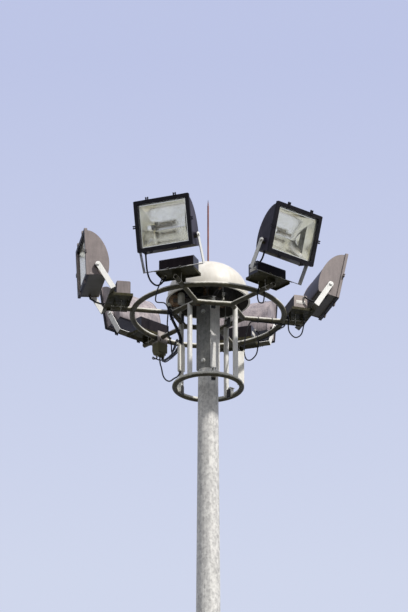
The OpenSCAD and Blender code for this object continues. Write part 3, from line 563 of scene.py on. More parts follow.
# Winch and ropes inside the mast: seen only through the open foot. The ropes are steel wire,
# laid up in six strands.
def rope_look(place, down):
    lay = place.node(
        "TexWave", {"bands_direction": "DIAGONAL"}, {"Vector": place, "Scale": 55.0, "Distortion": 0.6})
    soil = place.noise(0.06)
    return {
        "color": (0.7 * lay + 0.3 * soil).between((0.20, 0.20, 0.18), (0.62, 0.62, 0.58)),
        "rough": 0.35 + 0.3 * soil,
        "relief": (lay, 0.0012),
    }


wire_rope = finish("wire_rope", rope_look, Metallic=0.5)
# The winch is painted nearly black: painted shade inside the mast.
skin("winch", shade_steel)
skin("hoist_ropes", wire_rope, sharp=60)

# Suspension ropes: three wire ropes that hold the carriage under the head. Each is one length
# from its sheave to its lug.
ROPE_D = 0.008


def tube(name, points, diameter, sides=10):
    """A round cord through a list of points, as a mesh with a ring of corners at each point."""
    line = bpy.data.curves.new(name, "CURVE")
    line.dimensions = "3D"
    line.bevel_depth = diameter / 2
    line.bevel_resolution = (sides - 4) // 2
    line.use_fill_caps = True
    run = line.splines.new("POLY")
    run.points.add(len(points) - 1)
    for point, place in zip(run.points, points):
        point.co = (*place, 1)
    cord = bpy.data.objects.new(name, line)
    bpy.context.collection.objects.link(cord)
    only(cord)
    bpy.ops.object.convert(target="MESH")
    return bpy.context.object


def rope_boxes():
    """The lowest and the highest corner of each rope. The ropes stand a third of a turn apart."""
    ropes = {}
    for vertex in frame["nodes"]["suspension_ropes"].data.vertices:
        place = [round(c, 5) for c in vertex.co]
        third = round(math.atan2(place[0], -place[1]) / math.radians(120))
        ropes.setdefault(third, []).append(place)
    return [[Vector([pick(axis) for axis in zip(*rope)]) for pick in (min, max)] for rope in ropes.values()]


def plumb(x, y, top, foot, steps):
    """Points straight down from a top to a foot."""
    return [(x, y, top + (foot - top) * i / steps) for i in range(steps + 1)]


def between_bodies(cord, paint, node):
    """Finishes a cord that runs from one body to another, and stands for a CAD node."""
    cord.data.materials.append(paint)
    bpy.ops.object.shade_smooth_by_angle(angle=math.radians(60))
    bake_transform(cord)
    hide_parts(node)


rope_feet = []
for low, high in sorted(rope_boxes(), key=lambda box: box[0].x):
    middle = (low + high) / 2
    rope_feet.append(Vector((middle.x, middle.y, low.z)))
    rings = plumb(middle.x, middle.y, high.z, low.z, 24)
    rope = tube(f"suspension_rope_{len(rope_feet)}", rings, ROPE_D)
    between_bodies(rope, wire_rope, "suspension_ropes")


# Supply cable: a black rubber flex over the wheel, with a tapered grip at the cable head. What
# lies over the wheel and runs into the post stays with the mast.
def sheath_look(place, down):
    dust = place.noise(0.05)
    grain = place.noise(0.003)
    return {
        "color": (dust * (1 - down)).ease(0.3, 1.0).between((0.005, 0.005, 0.006), (0.028, 0.028, 0.031)),
        "rough": 0.4 + 0.25 * dust,
        "relief": (grain, 0.0002),
    }


black_sheath = finish("black_sheath", sheath_look, Specular_IOR_Level=0.2)
supply_low, supply_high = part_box("supply_cable")
SUPPLY_D = supply_high.x - supply_low.x
supply_x = (supply_low.x + supply_high.x) / 2
supply_y = (supply_low.y + supply_high.y) / 2
rings = plumb(supply_x, supply_y, supply_high.z, supply_low.z, 16)
supply = tube("supply_flex", rings, SUPPLY_D, 14)
between_bodies(supply, black_sheath, "supply_cable")


def through(points, steps):
    """A smooth curve through a few points, as a longer list of points."""
    points = [Vector(p) for p in points]
    line = []
    for i in range(len(points) - 1):
        a, b = points[max(i - 1, 0)], points[i]
        c, d = points[i + 1], points[min(i + 2, len(points) - 1)]
        for s in range(steps):
            t = s / steps
            line.append(0.5 * (
                2 * b + (c - a) * t + (2 * a - 5 * b + 4 * c - d) * t * t + (3 * b - a - 3 * c + d) * t ** 3))
    return line + [points[-1]]


def held_cable(name, points, diameter, paint, body, steps, sides):
    """A cable that its piece holds all the way, through a few points."""
    settle(tube(name, through(points, steps), diameter, sides), name, paint, body)


PATH_R = 0.05
wheel_axle = Vector((supply_x + PATH_R, supply_y, supply_high.z))
over = [
    wheel_axle + Vector((-PATH_R * math.cos(a), 0, PATH_R * math.sin(a)))
    for a in [math.radians(d) for d in (0, 22, 45, 68, 90)]]
into_post = [
    (-0.230, -0.052, RING_Z + 0.162), (-0.120, -0.058, RING_Z + 0.180), (-0.050, -0.045, RING_Z + 0.170),
    (-0.026, -0.027, RING_Z + 0.130), (-0.026, -0.027, RING_Z + 0.060)]
held_cable("supply_over_wheel", over + into_post, SUPPLY_D, black_sheath, "mast", 3, 14)
grip = rounded(
    bpy.ops.mesh.primitive_cone_add, 0.002, vertices=24, radius1=0.0195, radius2=0.0125, depth=0.034,
    location=(supply_x, supply_y, supply_low.z + 0.012))
settle(grip, "supply_grip", box_plastic, "carriage")

# Carriage: rings, hexagon, spokes and cage of galvanised pipe. Their tops are pale, and their
# undersides are painted olive brown, for dirt and painted shade.
# OLIVE is the underside colour: dirt and painted shade.
OLIVE = (0.052, 0.044, 0.018)
pipe_zinc = galvanised(
    "pipe_zinc", (0.86, 0.85, 0.81), (0.52, 0.51, 0.45), OLIVE, -0.35, Specular_IOR_Level=0.18)
post_zinc = galvanised("post_zinc", (0.90, 0.89, 0.86), (0.62, 0.61, 0.58), OLIVE, 0.35, Metallic=0.1)
low_zinc = galvanised(
    "low_zinc", (0.84, 0.84, 0.80), (0.46, 0.455, 0.40), OLIVE, 0.0, Specular_IOR_Level=0.18)
for pipe in ("outer_ring", "hex_ring", "spokes"):
    skin(pipe, pipe_zinc, sharp=50)
skin("lower_ring", low_zinc, sharp=50)
skin("cage_posts", post_zinc, sharp=50)

# Welds where the spokes cross the outer ring: a rippled fillet round each spoke, outside and
# inside the ring, that follows the ring's curve.
RING_R = 0.700
RING_PIPE_R = 0.0245
SPOKE_R = 0.022
SPOKE_AZIMUTHS = range(-30, 330, 60)


def on_carriage(matrices):
    """Places on the carriage, one for each matrix."""
    return [("carriage", matrix) for matrix in matrices]


bead = added(
    bpy.ops.mesh.primitive_torus_add, major_radius=SPOKE_R + 0.001, minor_radius=0.0035,
    major_segments=40, minor_segments=8, rotation=ALONG_Y)
bpy.ops.object.transform_apply()
for corner in bead.data.vertices:
    corner.co.y -= math.sqrt(max(RING_PIPE_R ** 2 - corner.co.z ** 2, 0))
bpy.ops.object.mode_set(mode="EDIT")
bpy.ops.mesh.select_all(action="SELECT")
bpy.ops.transform.vertex_random(offset=0.0007, seed=11)
bpy.ops.object.mode_set(mode="OBJECT")
half_turn = Matrix.Rotation(math.pi, 4, "Z")
places = []
for azimuth in SPOKE_AZIMUTHS:
    on_spoke = facing(azimuth, RING_R, RING_Z)
    places += [on_spoke, on_spoke @ half_turn]
copies(bead, "spoke_weld", on_carriage(places), pipe_zinc)

# Rope ends: each rope goes through its lug and is clamped back on itself by two galvanised wire
# rope clips, one above the other.
BOW_R = 0.0085


def rope_clip():
    """A saddle, a U bolt round both legs of the rope and two nuts."""
    bow = added(
        bpy.ops.mesh.primitive_torus_add, major_radius=BOW_R, minor_radius=0.0022, major_segments=20,
        minor_segments=8)
    saddle = rounded(
        bpy.ops.mesh.primitive_cube_add, 0.0015, size=1, location=(0, -0.008, 0),
        scale=(0.026, 0.008, 0.011))
    parts = [bow, saddle]
    for side in (-1, 1):
        parts.append(rounded(
            bpy.ops.mesh.primitive_cylinder_add, 0.0006, 1, vertices=6, radius=0.0055, depth=0.006,
            location=(side * BOW_R, -0.015, 0), rotation=ALONG_Y))
    return joined(parts)


places = []
for foot in rope_feet:
    turn = Matrix.Rotation(math.atan2(foot.x, -foot.y), 4, "Z")
    places += [Matrix.Translation((foot.x, foot.y, foot.z + rise)) @ turn for rise in (0.014, 0.034)]
copies(rope_clip(), "rope_clip", on_carriage(places), bolt_zinc)

# Guides: brackets of bright flat bar, and black rubber blocks that ride on the mast, each held
# by two countersunk bolts.
bright_bar = galvanised(
    "bright_bar", (0.86, 0.86, 0.83), (0.66, 0.66, 0.63), (0.19, 0.16, 0.11), 0.2, Metallic=0.1)


def rubber_look(place, down):
    dust = place.noise(0.02)
    return {
        "color": dust.between((0.012, 0.012, 0.013), (0.05, 0.048, 0.045)),
        "rough": 0.6 + 0.3 * dust,
        "relief": (place.noise(0.003), 0.0004),
    }


block_rubber = finish("block_rubber", rubber_look)
skin("guide_brackets", bright_bar)
skin("guide_blocks", block_rubber, edge=0.003)

# Brackets: folded sheet on saddles, galvanised and seen only from below, where they are painted
# dark olive for dirt and painted shade. Each is held down on its spoke by a U bolt, which is
# newer and still bright.
TRAY_UNDER = 0.072
LEG = SPOKE_R + 0.0035
LEG_END = TRAY_UNDER - 0.001
BAR_D = 0.006
U_BOLT_R = 0.820
# The tray's zinc is dark all over and olive below: dirt and painted shade.
tray_zinc = galvanised(
    "tray_zinc", (0.24, 0.23, 0.16), (0.11, 0.105, 0.06), (0.032, 0.028, 0.011), -0.45,
    Specular_IOR_Level=0.15)
skin("gear_trays", tray_zinc)
bend = [(LEG * math.cos(a), 0, -LEG * math.sin(a)) for a in [math.radians(18 * i) for i in range(11)]]
u_bolt = [tube("u_bolt", [(LEG, 0, LEG_END), *bend, (-LEG, 0, LEG_END)], BAR_D, 10)]
for side in (-1, 1):
    u_bolt.append(rounded(
        bpy.ops.mesh.primitive_cylinder_add, 0.0007, vertices=6, radius=0.0065, depth=0.006,
        location=(side * LEG, 0, TRAY_UNDER - 0.005)))
places = [facing(azimuth, U_BOLT_R, RING_Z) for azimuth in SPOKE_AZIMUTHS]
copies(joined(u_bolt), "u_bolt", on_carriage(places), bright_bar)

# Places of the six brackets and floodlights, in the order of their hinges: the front left one
# first, then on round by the right. A floodlight's own axes lean with its resting tilt.
LOWEST_TILT = -30
hinges = [joint for joint in record["behaviour"]["joints"] if joint["type"] == "hinge"]


def resting_tilt(hinge):
    """How far a floodlight leans at rest."""
    return math.radians(LOWEST_TILT - hinge["range_deg"][0])


brackets = []
lamps = []
for hinge in hinges:
    axis = Vector(hinge["axis"])
    turn = Matrix.Rotation(math.atan2(axis.y, axis.x), 4, "Z")
    brackets.append(Matrix.Translation(hinge["pos_m"]) @ turn)
    lamps.append(brackets[-1] @ Matrix.Rotation(resting_tilt(hinge), 4, "X"))
on_brackets = on_carriage(brackets)
on_lamps = [(hinge["child"], place) for hinge, place in zip(hinges, lamps)]


def nearest(center):
    """Which floodlight a point of the carriage belongs to."""
    return min(range(6), key=lambda i: (brackets[i].translation - center).length)


# Gear boxes: pressed covers in dark grey-brown paint over a flanged foot. The ends are paler
# than the fronts: chalky on the two boxes that the camera sees from the end, and a bluish grey
# of painted shade on the other four.
def gear_look(light, dark):
    """Weathered paint between a light and a dark tone."""
    def look(place, down):
        cloud = place.noise(0.07, (1, 1, 1.5))
        run = place.noise(0.012, (1, 1, 12))
        return {
            "color": (0.6 * cloud + 0.4 * run).ease(0.3, 0.7).between(dark, light),
            "rough": 0.42 + 0.25 * cloud,
            "relief": (place.noise(0.004), 0.0003),
        }
    return look


gear_paint = finish(
    "gear_paint", gear_look((0.020, 0.015, 0.018), (0.007, 0.005, 0.007)), Specular_IOR_Level=0.15)
shaded_gear_end = finish("shaded_gear_end", gear_look((0.060, 0.064, 0.092), (0.034, 0.037, 0.054)))
gear_chalk = finish("gear_chalk", gear_look((0.40, 0.34, 0.32), (0.27, 0.23, 0.22)))
gear_faded = finish("gear_faded", gear_look((0.25, 0.21, 0.21), (0.16, 0.135, 0.135)))
gear = skin("gear_boxes", gear_paint, edge=0.003)


def end_of(boxes):
    """The faces that look along a bracket's own X, on some of the boxes."""
    def inside(center, normal):
        i = nearest(center)
        return i in boxes and abs(normal.dot(Vector(hinges[i]["axis"]))) > 0.6
    return inside


# The bluish ends of four boxes are painted shade.
zone(gear, shaded_gear_end, end_of((0, 1, 3, 4)))
zone(gear, gear_chalk, end_of((2,)))
zone(gear, gear_faded, end_of((5,)))

# Plates on the gear boxes: thin white sheet with nothing on it, one at the same end of each box.
# Two rivets hold it to the cover.
PLATE_X = -0.1695
PLATE_Y = 0.256
PLATE_Z = -0.169
RIVET_OUT = 0.037


def plate_look(place, down):
    cloud = place.noise(0.02)
    return {"color": cloud.between((0.66, 0.63, 0.58), (0.86, 0.85, 0.82)), "rough": 0.35 + 0.3 * cloud}


def block(size, width, segments=2, location=(0, 0, 0)):
    """A block of a size, with its edges rounded to a true width."""
    added(bpy.ops.mesh.primitive_cube_add, size=1, location=location, scale=size)
    bpy.ops.object.transform_apply()
    return soften(width, segments)


plate = [block((0.002, 0.088, 0.034), 0.0006, location=(PLATE_X, PLATE_Y, PLATE_Z))]
for side in (-1, 1):
    plate.append(added(
        bpy.ops.mesh.primitive_uv_sphere_add, segments=14, ring_count=8, radius=0.003, scale=(0.5, 1, 1),
        location=(PLATE_X - 0.001, PLATE_Y + side * RIVET_OUT, PLATE_Z)))
copies(joined(plate), "gear_plate", on_brackets, finish("bare_plate", plate_look))

# Yokes: flat bar with a nut at each tilt axis. Most are bright, the outer arms of the front two
# are dull zinc painted darker for their shade, and the bars across the brackets are painted dark
# olive below, for dirt and painted shade.
ARM_X = 0.2
BAR_TOP = brackets[0].translation.z - 0.21
yoke_zinc = galvanised(
    "yoke_zinc", (0.94, 0.94, 0.92), (0.82, 0.82, 0.80), (0.12, 0.105, 0.06), 0.15, Metallic=0.05)
dull_shaded_zinc = galvanised(
    "dull_shaded_zinc", (0.50, 0.50, 0.49), (0.16, 0.16, 0.155), (0.05, 0.045, 0.02), 0.0, Metallic=0.3)
soiled_shaded_zinc = galvanised(
    "soiled_shaded_zinc", (0.16, 0.145, 0.08), (0.07, 0.062, 0.032), OLIVE, -0.4, Metallic=0.1)
yokes = skin("yokes", yoke_zinc)
# The front two's outer arms: dull zinc and painted shade.
for i, side in ((0, -1), (1, 1)):
    to_bracket = brackets[i].inverted()
    zone(yokes, dull_shaded_zinc, lambda c, n: nearest(c) == i and side * (to_bracket @ c).x > ARM_X)
# Low bars that don't face up: dirt and painted shade.
zone(yokes, soiled_shaded_zinc, lambda c, n: c.z < BAR_TOP and n.z < 0.7)


# Terminal boxes and connector box: light grey moulded boxes, the first two on straps over the
# lower ring, with screwed lids. The connector box hangs on its plate with an olive bloom below.
def pale_look(place, down):
    cloud = place.noise(0.06, (1, 1, 2))
    run = place.noise(0.008, (1, 1, 16))
    return {
        "color": (0.6 * cloud + 0.4 * run).ease(0.25, 0.6).between((0.60, 0.58, 0.52), (0.92, 0.90, 0.85)),
        "rough": 0.4 + 0.3 * cloud,
        "relief": (run, 0.0003),
    }


pale_plastic = finish("pale_plastic", pale_look)
skin("terminal_boxes", pale_plastic, edge=0.003)
LID_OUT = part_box("terminal_boxes")[1].x + 0.002
LID_W = 0.036
LID_T = 0.006
LID_EDGE = 0.006
SCREW_X = 0.0125
SCREW_IN = 0.014
for i, (azimuth, low_end, high_end) in enumerate([(-65, -0.644, -0.386), (90, -0.668, -0.344)]):
    middle = (low_end + high_end) / 2
    lid = [block((LID_W, LID_T, high_end - low_end - 2 * LID_EDGE), 0.0018, 3)]
    for x in (-SCREW_X, SCREW_X):
        for z in (low_end - middle + SCREW_IN, high_end - middle - SCREW_IN):
            screw = bolt(0.0045, 0.0015, 0.0005)
            screw.location = (x, -LID_T / 2, z)
            lid.append(screw)
    places = on_carriage([facing(azimuth, LID_OUT, RING_Z + middle)])
    copies(joined(lid), f"terminal_lid_{i + 1}", places, pale_plastic)


def plug_look(place, down):
    cloud = place.noise(0.05)
    height = place.node("SeparateXYZ", {}, {0: place}, 2)
    low = (height + 0.04 * cloud).ease(RING_Z - 0.055, RING_Z - 0.010)
    bloom = cloud.between((0.050, 0.045, 0.018), (0.15, 0.135, 0.05))
    return {
        "color": low.between(bloom, cloud.between((0.36, 0.32, 0.31), (0.52, 0.47, 0.45))),
        "rough": 0.5 + 0.3 * cloud,
        "relief": (place.noise(0.005), 0.0004),
    }


skin("connector_box", finish("plug_plastic", plug_look), edge=0.004)
skin("carriage_cables", black_sheath, sharp=60)

# Glands: grey plastic, with a hexagon base and a dome nut, screwed into the boxes and trays
# wherever a flex goes in.
BOX_END = Vector((-0.1692, 0.2223, -0.118))
UNDER_TRAY = Vector((-0.130, 0.2563, -0.2282))
BASE_NUT = (6, 0.012, 0.012, 0.007, 0.0035)
DOME_NUT = (20, 0.0105, 0.0068, 0.013, 0.0125)
gland = []
for sides, wide, narrow, depth, z in (BASE_NUT, DOME_NUT):
    gland.append(rounded(
        bpy.ops.mesh.primitive_cone_add, 0.0012, vertices=sides, radius1=wide, radius2=narrow, depth=depth,
        location=(0, 0, z)))


def on_ring(points):
    """Points counted in millimetres from the middle of the outer ring."""
    return [Vector((x / 1000, y / 1000, RING_Z + z / 1000)) for x, y, z in points]


def under_tray(azimuth, radius, aside):
    """A point on a tray's underside, at a radius and aside from its spoke, in millimetres."""
    a = math.radians(azimuth)
    x = radius * math.sin(a) + aside * math.cos(a)
    y = aside * math.sin(a) - radius * math.cos(a)
    return x, y, TRAY_UNDER * 1000


head_down = Matrix.Rotation(math.pi, 4, "X")
sideways = Matrix.Rotation(math.radians(-90), 4, "Y")
BOX_TOPS = on_ring([(-290, -135, -386), (-314, -146, -386), (333, 0, -344)])
PLUG_FEET = on_ring([(-305, 612, -175), (-370, 600, -175)])
TRAY_HOLES = on_ring([
    under_tray(-30, 792, -168), under_tray(30, 742, -32), under_tray(30, 742, 32), under_tray(90, 742, 72),
    under_tray(90, 884, 80), under_tray(150, 750, -50), under_tray(90, 750, 50), under_tray(90, 750, -30)])
places = [Matrix.Translation(top) for top in BOX_TOPS]
places += [Matrix.Translation(foot) @ head_down for foot in PLUG_FEET + TRAY_HOLES]
places += [brackets[0] @ Matrix.Translation(UNDER_TRAY) @ head_down]
places += [bracket @ Matrix.Translation(BOX_END) @ sideways for bracket in brackets[1:]]
copies(joined(gland), "gland", on_carriage(places), box_plastic)

# Flexes on the carriage: thin black rubber flex between the cable head, the boxes and the trays.
# Two come down beside the supply's bundle, one crosses from the connector box to a terminal box,
# and slack hangs in loops under the trays.
FLEX_D = 0.012
FLEXES = {
    "head_to_plug": [
        (-360, -56, -14), (-350, -52, -50), (-338, -46, -84), (-264, 52, -158), (-230, 84, -240),
        (-243, 190, -298), (-270, 357, -292), (-292, 530, -262), (-303, 600, -232), (-305, 612, -205),
        (-305, 612, -176)],
    "head_to_terminals": [
        (-382, -40, -14), (-384, -36, -50), (-388, -30, -142), (-374, -30, -243), (-345, 0, -330),
        (-334, 30, -386), (-322, -40, -384), (-303, -100, -338), (-291, -130, -334), (-290, -135, -360),
        (-290, -135, -386)],
    "plug_to_terminals": [
        (-370, 600, -176), (-371, 598, -205), (-420, 520, -250), (-441, 400, -285), (-430, 320, -335),
        (-395, 230, -385), (-350, 60, -430), (-338, -60, -400), (-322, -125, -340), (-315, -143, -334),
        (-314, -146, -360), (-314, -146, -386)],
    "front_left": [
        TRAY_HOLES[0], (-548, -596, 40), (-572, -520, -28), (-560, -380, -75), (-460, -240, -20),
        (-408, -120, 6), (-384, -76, -30), (-376, -62, -44), (-375, -58, -16)],
    "front_right_loop": [
        TRAY_HOLES[1], (344, -662, 30), (330, -654, -50), (345, -632, -112), (377, -630, -122),
        (390, -634, -108), (398, -628, -50), (398, -630, 30), TRAY_HOLES[2]],
    "right_loop": [
        TRAY_HOLES[3], (742, -72, 30), (738, -78, -60), (748, -82, -140), (800, -86, -192), (856, -90, -160),
        (880, -88, -70), (884, -82, 20), TRAY_HOLES[4]],
    "rear_run": [
        TRAY_HOLES[5], (414, 628, 30), (428, 590, -18), (440, 545, -28), (450, 534, -40), (447, 530, -110),
        (462, 505, -185), (500, 470, -202), (545, 438, -150), (560, 422, -45), (575, 400, -29),
        (640, 284, -29), (690, 120, -29), (728, 66, -20), (748, 54, 30), TRAY_HOLES[6]],
    "right_terminals": [
        TRAY_HOLES[7], (746, 28, 30), (728, 20, -25), (690, 6, -30), (600, 0, -27), (430, -2, -27),
        (385, -6, -60), (352, -6, -180), (336, -2, -290), (333, 0, -320), (333, 0, -344)],
}
for name, route in FLEXES.items():
    points = [p if isinstance(p, Vector) else on_ring([p])[0] for p in route]
    held_cable(f"flex_{name}", points, FLEX_D, black_sheath, "carriage", 6, 10)

# Boot at the cable head: a moulded rubber sleeve under the supply cable's grip. The bundle and
# the flexes come out of it.
boot = rounded(
    bpy.ops.mesh.primitive_cone_add, 0.003, 3, vertices=28, radius1=0.025, radius2=0.0195, depth=0.030,
    location=on_ring([(-372, -48, -7)])[0])
settle(boot, "cable_boot", block_rubber, "carriage")


# Cable ties: black nylon straps with a square head, round the bundle and its flex, and round the
# pipes where a flex runs along them.
def cable_tie(radius):
    """A closed strap of a radius, with its head at the side."""
    strap = added(
        bpy.ops.mesh.primitive_cylinder_add, vertices=32, radius=radius, depth=0.006, end_fill_type="NOTHING")
    wall = strap.modifiers.new("wall", "SOLIDIFY")
    wall.thickness = 0.0014
    bpy.ops.object.modifier_apply(modifier="wall")
    head = rounded(
        bpy.ops.mesh.primitive_cube_add, 0.0012, size=1, location=(0, radius, 0), scale=(0.009, 0.006, 0.008))
    return joined([strap, head])


def tied(points):
    """Places of ties: a point and the direction of what the tie holds, in millimetres."""
    turned = [(on_ring([p])[0], Vector(d).to_track_quat("Z", "Y").to_matrix().to_4x4()) for p, d in points]
    return on_carriage([Matrix.Translation(point) @ turn for point, turn in turned])


BUNDLE_TIE_R = 0.0215
PIPE_TIE_R = 0.0295
FLEX_SIDE = -4.5
bundle_ties = [
    ((-345, -42, -82), (95, 108, -140)), ((-271, 57, -153), (107, 128, -155)),
    ((-251, 190, -291), (-39, 269, -45)), ((-277, 357, -285), (-54, 380, 48))]
ring_ties = [
    ((700 * math.sin(a), -700 * math.cos(a), FLEX_SIDE), (math.cos(a), math.sin(a), 0))
    for a in [math.radians(d) for d in (142, 126, 112, 100)]]
spoke_ties = [((r, 0, FLEX_SIDE), (1, 0, 0)) for r in (470, 600)]
copies(cable_tie(BUNDLE_TIE_R), "bundle_tie", tied(bundle_ties), block_rubber)
copies(cable_tie(PIPE_TIE_R), "pipe_tie", tied(ring_ties + spoke_ties), block_rubber)

# Lamp leads: black flex from each housing's gland. The first hangs in a loop and comes up under
# its bracket, the others run to the end of their gear box.
LEAD_D = 0.016
GLAND_X = -0.231
GLAND_DROP = 0.1042
STUB = 0.015
LOOP = [(-0.236, 0.076, -0.247), (-0.232, 0.145, -0.312), (-0.200, 0.201, -0.340), (-0.165, 0.231, -0.320)]
SHORT = [(-0.227, 0.066, -0.152), (-0.219, 0.118, -0.168), (-0.210, 0.175, -0.158), (-0.200, 0.212, -0.135)]
for i, hinge in enumerate(hinges):
    tilt = resting_tilt(hinge)
    leave = Vector((GLAND_X, math.sin(tilt) * GLAND_DROP, -math.cos(tilt) * GLAND_DROP))
    stub = Vector((0, math.sin(tilt) * STUB, -math.cos(tilt) * STUB))
    if i == 0:
        route = [leave + stub, *LOOP, UNDER_TRAY - Vector((0, 0, 2 * STUB))]
        foot = UNDER_TRAY
    else:
        route = [leave + stub, *SHORT, BOX_END - Vector((STUB, 0, 0))]
        foot = BOX_END
    line = [brackets[i] @ p for p in [leave, *through(route, 6), foot]]
    lead = tube(f"lamp_lead_{i + 1}", line, LEAD_D, 12)
    between_bodies(lead, black_sheath, "lamp_leads")


# Housings: aluminium sheet curved over two side plates, which are screwed on along their front
# edge. The paint is a dark violet grey. On the rear two it has bleached in streaks, and the side
# plates at the far right and left are a faded, pinkish grey.
def faded_look(place, down):
    cloud = place.noise(0.12)
    speck = place.noise(0.008)
    streak = place.noise(0.02, (1, 1, 8))
    age = (0.45 * cloud + 0.3 * streak + 0.25 * speck).ease(0.35, 0.65)
    pinkish = age.between((0.205, 0.172, 0.168), (0.30, 0.252, 0.245))
    return {
        # Faces that look down are painted dark: dirt and painted shade.
        "color": down.ease(0.5, 0.8).between(pinkish, (0.045, 0.04, 0.022)),
        "rough": 0.45 + 0.25 * cloud,
        "relief": (speck, 0.0003),
    }


def dark_look(place, down):
    cloud = place.noise(0.15)
    streak = place.noise(0.012, (1, 1, 14))
    age = (0.6 * cloud + 0.4 * streak).ease(0.35, 0.7)
    violet = age.between((0.028, 0.024, 0.036), (0.075, 0.068, 0.095))
    return {
        # Faces that look down are painted dark: dirt and painted shade.
        "color": down.ease(0.5, 0.8).between(violet, (0.045, 0.036, 0.016)),
        "rough": 0.38 + 0.25 * cloud,
        "relief": (streak, 0.0004),
    }


def streaked_look(place, down):
    streak = place.noise(0.010, (1, 1, 20))
    cloud = place.noise(0.10)
    age = (0.5 * cloud + 0.5 * streak).ease(0.35, 0.65)
    bleached = age.between((0.20, 0.175, 0.19), (0.46, 0.40, 0.41))
    return {
        # Faces that look down are painted dark: dirt and painted shade.
        "color": down.ease(0.35, 0.7).between(bleached, (0.030, 0.026, 0.035)),
        "rough": 0.45 + 0.25 * cloud,
        "relief": (streak, 0.0004),
    }


faded_paint = finish("faded_paint", faded_look)
dark_paint = finish("dark_paint", dark_look, Specular_IOR_Level=0.25)
streaked_paint = finish("streaked_paint", streaked_look)
REAR = (3, 4)
SIDES = (2, 5)
SCREW_PLACE_X = 0.2525
SCREW_PLACE_Y = -0.068
ALONG_X = (0, math.radians(90), 0)


def fade_sides(piece, i):
    """Bleaches the faces that look along the tilt axis, on the floodlights at the far right and left."""
    if i in SIDES:
        axis = Vector(hinges[i]["axis"])
        zone(piece, faded_paint, lambda c, n: abs(n.dot(axis)) > 0.8)


for i in range(6):
    housing = skin(f"housing_{i + 1}", streaked_paint if i in REAR else dark_paint, sharp=32)
    fade_sides(housing, i)
screws = []
for side in (-1, 1):
    for z in (-0.078, 0.04, 0.215, 0.345):
        screws.append(rounded(
            bpy.ops.mesh.primitive_cylinder_add, 0.0012, 3, vertices=16, radius=0.0042, depth=0.005,
            location=(side * SCREW_PLACE_X, SCREW_PLACE_Y, z), rotation=ALONG_X))
copies(joined(screws), "side_screws", on_lamps, bolt_zinc)


# Reflectors: bright rolled sheet, dulled by the years. The lamp lies in its holder at the left,
# in front of the crease between the two curved panels. The solid's plain lamp is taken off here.
def sheet_look(place, down):
    haze = place.noise(0.06)
    fine = place.noise(0.012)
    return {
        "color": (0.7 * haze + 0.3 * fine).ease(0.3, 0.7).between((0.88, 0.85, 0.70), (1.0, 0.97, 0.86)),
        "rough": 0.10 + 0.16 * haze,
        "metal": 1.0 - 0.12 * haze,
    }


reflector_sheet = finish("reflector_sheet", sheet_look)
MOUTH_Z = 0.1325
LAMP_Y = 0.0112
LAMP_R = 0.023
HOLDER_END = -0.148
for i in range(6):
    reflector = skin(f"reflector_{i + 1}", reflector_sheet, sharp=22)
    inverse = lamps[i].inverted()
    bpy.ops.object.mode_set(mode="EDIT")
    bpy.ops.mesh.select_all(action="DESELECT")
    bpy.ops.object.mode_set(mode="OBJECT")
    for face in reflector.data.polygons:
        p = inverse @ face.center
        face.select = p.x > HOLDER_END + 0.0005 and math.hypot(p.y - LAMP_Y, p.z - MOUTH_Z) < LAMP_R + 0.001
    bpy.ops.object.mode_set(mode="EDIT")
    bpy.ops.mesh.delete(type="FACE")
    bpy.ops.object.mode_set(mode="OBJECT")


# Lamps: a clear tube with round ends. The burner stands inside on two support wires between two
# discs, and the tube's foot is seated in a metal base on the holder.
def quartz_look(place, down):
    cloud = place.noise(0.02)
    return {"color": cloud.between((0.62, 0.60, 0.52), (0.80, 0.80, 0.74)), "alpha": 0.16 + 0.10 * cloud}


def burner_look(place, down):
    cloud = place.noise(0.012)
    soot = cloud.ease(0.35, 0.65).between((0.10, 0.08, 0.06), (0.42, 0.36, 0.28))
    return {"color": soot, "rough": 0.3 + 0.3 * cloud}


def base_look(place, down):
    cloud = place.noise(0.01)
    return {"color": cloud.between((0.09, 0.085, 0.075), (0.22, 0.21, 0.19)), "rough": 0.35 + 0.3 * cloud}


quartz = finish("lamp_quartz", quartz_look, Roughness=0.08)
burner_dark = finish("burner", burner_look)
lamp_base = finish("lamp_base", base_look)


def lying(radius, length, x, z=0.0, sides=24, soft=0.3):
    """A cylinder along X round the lamp's own axis, with its two rims rounded."""
    part = added(
        bpy.ops.mesh.primitive_cylinder_add, vertices=sides, radius=radius, depth=length,
        location=(x, LAMP_Y, MOUTH_Z + z), rotation=ALONG_X)
    rounding = part.modifiers.new("rim", "BEVEL")
    rounding.width = radius * soft
    rounding.segments = 4
    rounding.limit_method = "ANGLE"
    bpy.ops.object.modifier_apply(modifier="rim")
    bpy.ops.object.transform_apply()
    return part


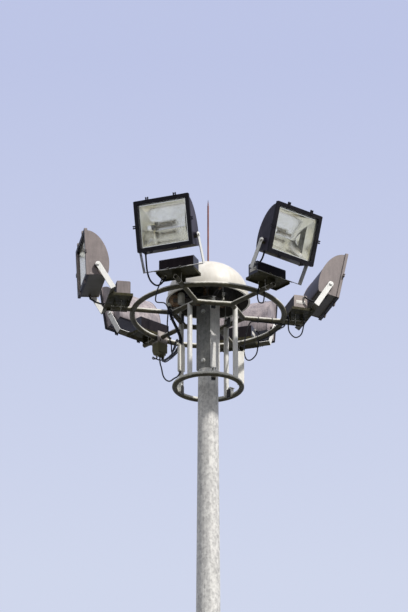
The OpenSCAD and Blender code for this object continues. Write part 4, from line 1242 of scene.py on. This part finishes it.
bulb = lying(LAMP_R - 0.001, 0.225, HOLDER_END + 0.104, soft=0.8)
copies(bulb, "lamp_tube", on_lamps, quartz)
burner = joined([
    lying(0.0085, 0.115, HOLDER_END + 0.115, soft=0.6),
    lying(0.0045, 0.160, HOLDER_END + 0.115),
    lying(0.0014, 0.205, HOLDER_END + 0.100, z=0.014, sides=8),
    lying(0.0014, 0.205, HOLDER_END + 0.100, z=-0.014, sides=8),
    lying(0.0150, 0.003, HOLDER_END + 0.050, soft=0.1),
    lying(0.0150, 0.003, HOLDER_END + 0.182, soft=0.1)])
copies(burner, "lamp_burner", on_lamps, burner_dark)
socket = joined([
    lying(0.0205, 0.030, HOLDER_END + 0.010, soft=0.15),
    lying(0.0240, 0.010, HOLDER_END + 0.000, soft=0.2)])
copies(socket, "lamp_base", on_lamps, lamp_base)


# Front glass: clear toughened sheet, seated in the back of its frame, with a thin and cloudy film
# of dust.
def glass_look(place, down):
    dirt_and_shade_film = place.noise(0.12)
    return {
        "color": dirt_and_shade_film.between((0.62, 0.66, 0.60), (0.78, 0.80, 0.74)),
        "alpha": 0.04 + 0.08 * dirt_and_shade_film.ease(0.35, 0.75),
    }


clear_glass = finish("clear_glass", glass_look, Roughness=0.05)
for i in range(6):
    skin(f"glass_{i + 1}", clear_glass)


# Front frames: die-cast and painted black, with six hooked clips that hold the glass. Faces that
# look up are painted grey, a painted highlight of the sun on their tops, and on the side frames'
# ends the paint has bleached like the plates.
def black_look(place, down):
    cloud = place.noise(0.08)
    wear = place.noise(0.006)
    black = (0.5 * cloud + 0.5 * wear).ease(0.4, 0.75).between((0.006, 0.005, 0.007), (0.024, 0.021, 0.024))
    return {
        # Faces that look up turn grey: painted highlight.
        "color": (0 - down).ease(0.5, 0.9).between(black, (0.14, 0.115, 0.115)),
        "rough": 0.35 + 0.3 * cloud,
        "relief": (wear, 0.0003),
    }


frame_paint = finish("frame_black", black_look, Specular_IOR_Level=0.15)
for i in range(6):
    rim = skin(f"front_frame_{i + 1}", frame_paint, edge=0.0015)
    fade_sides(rim, i)
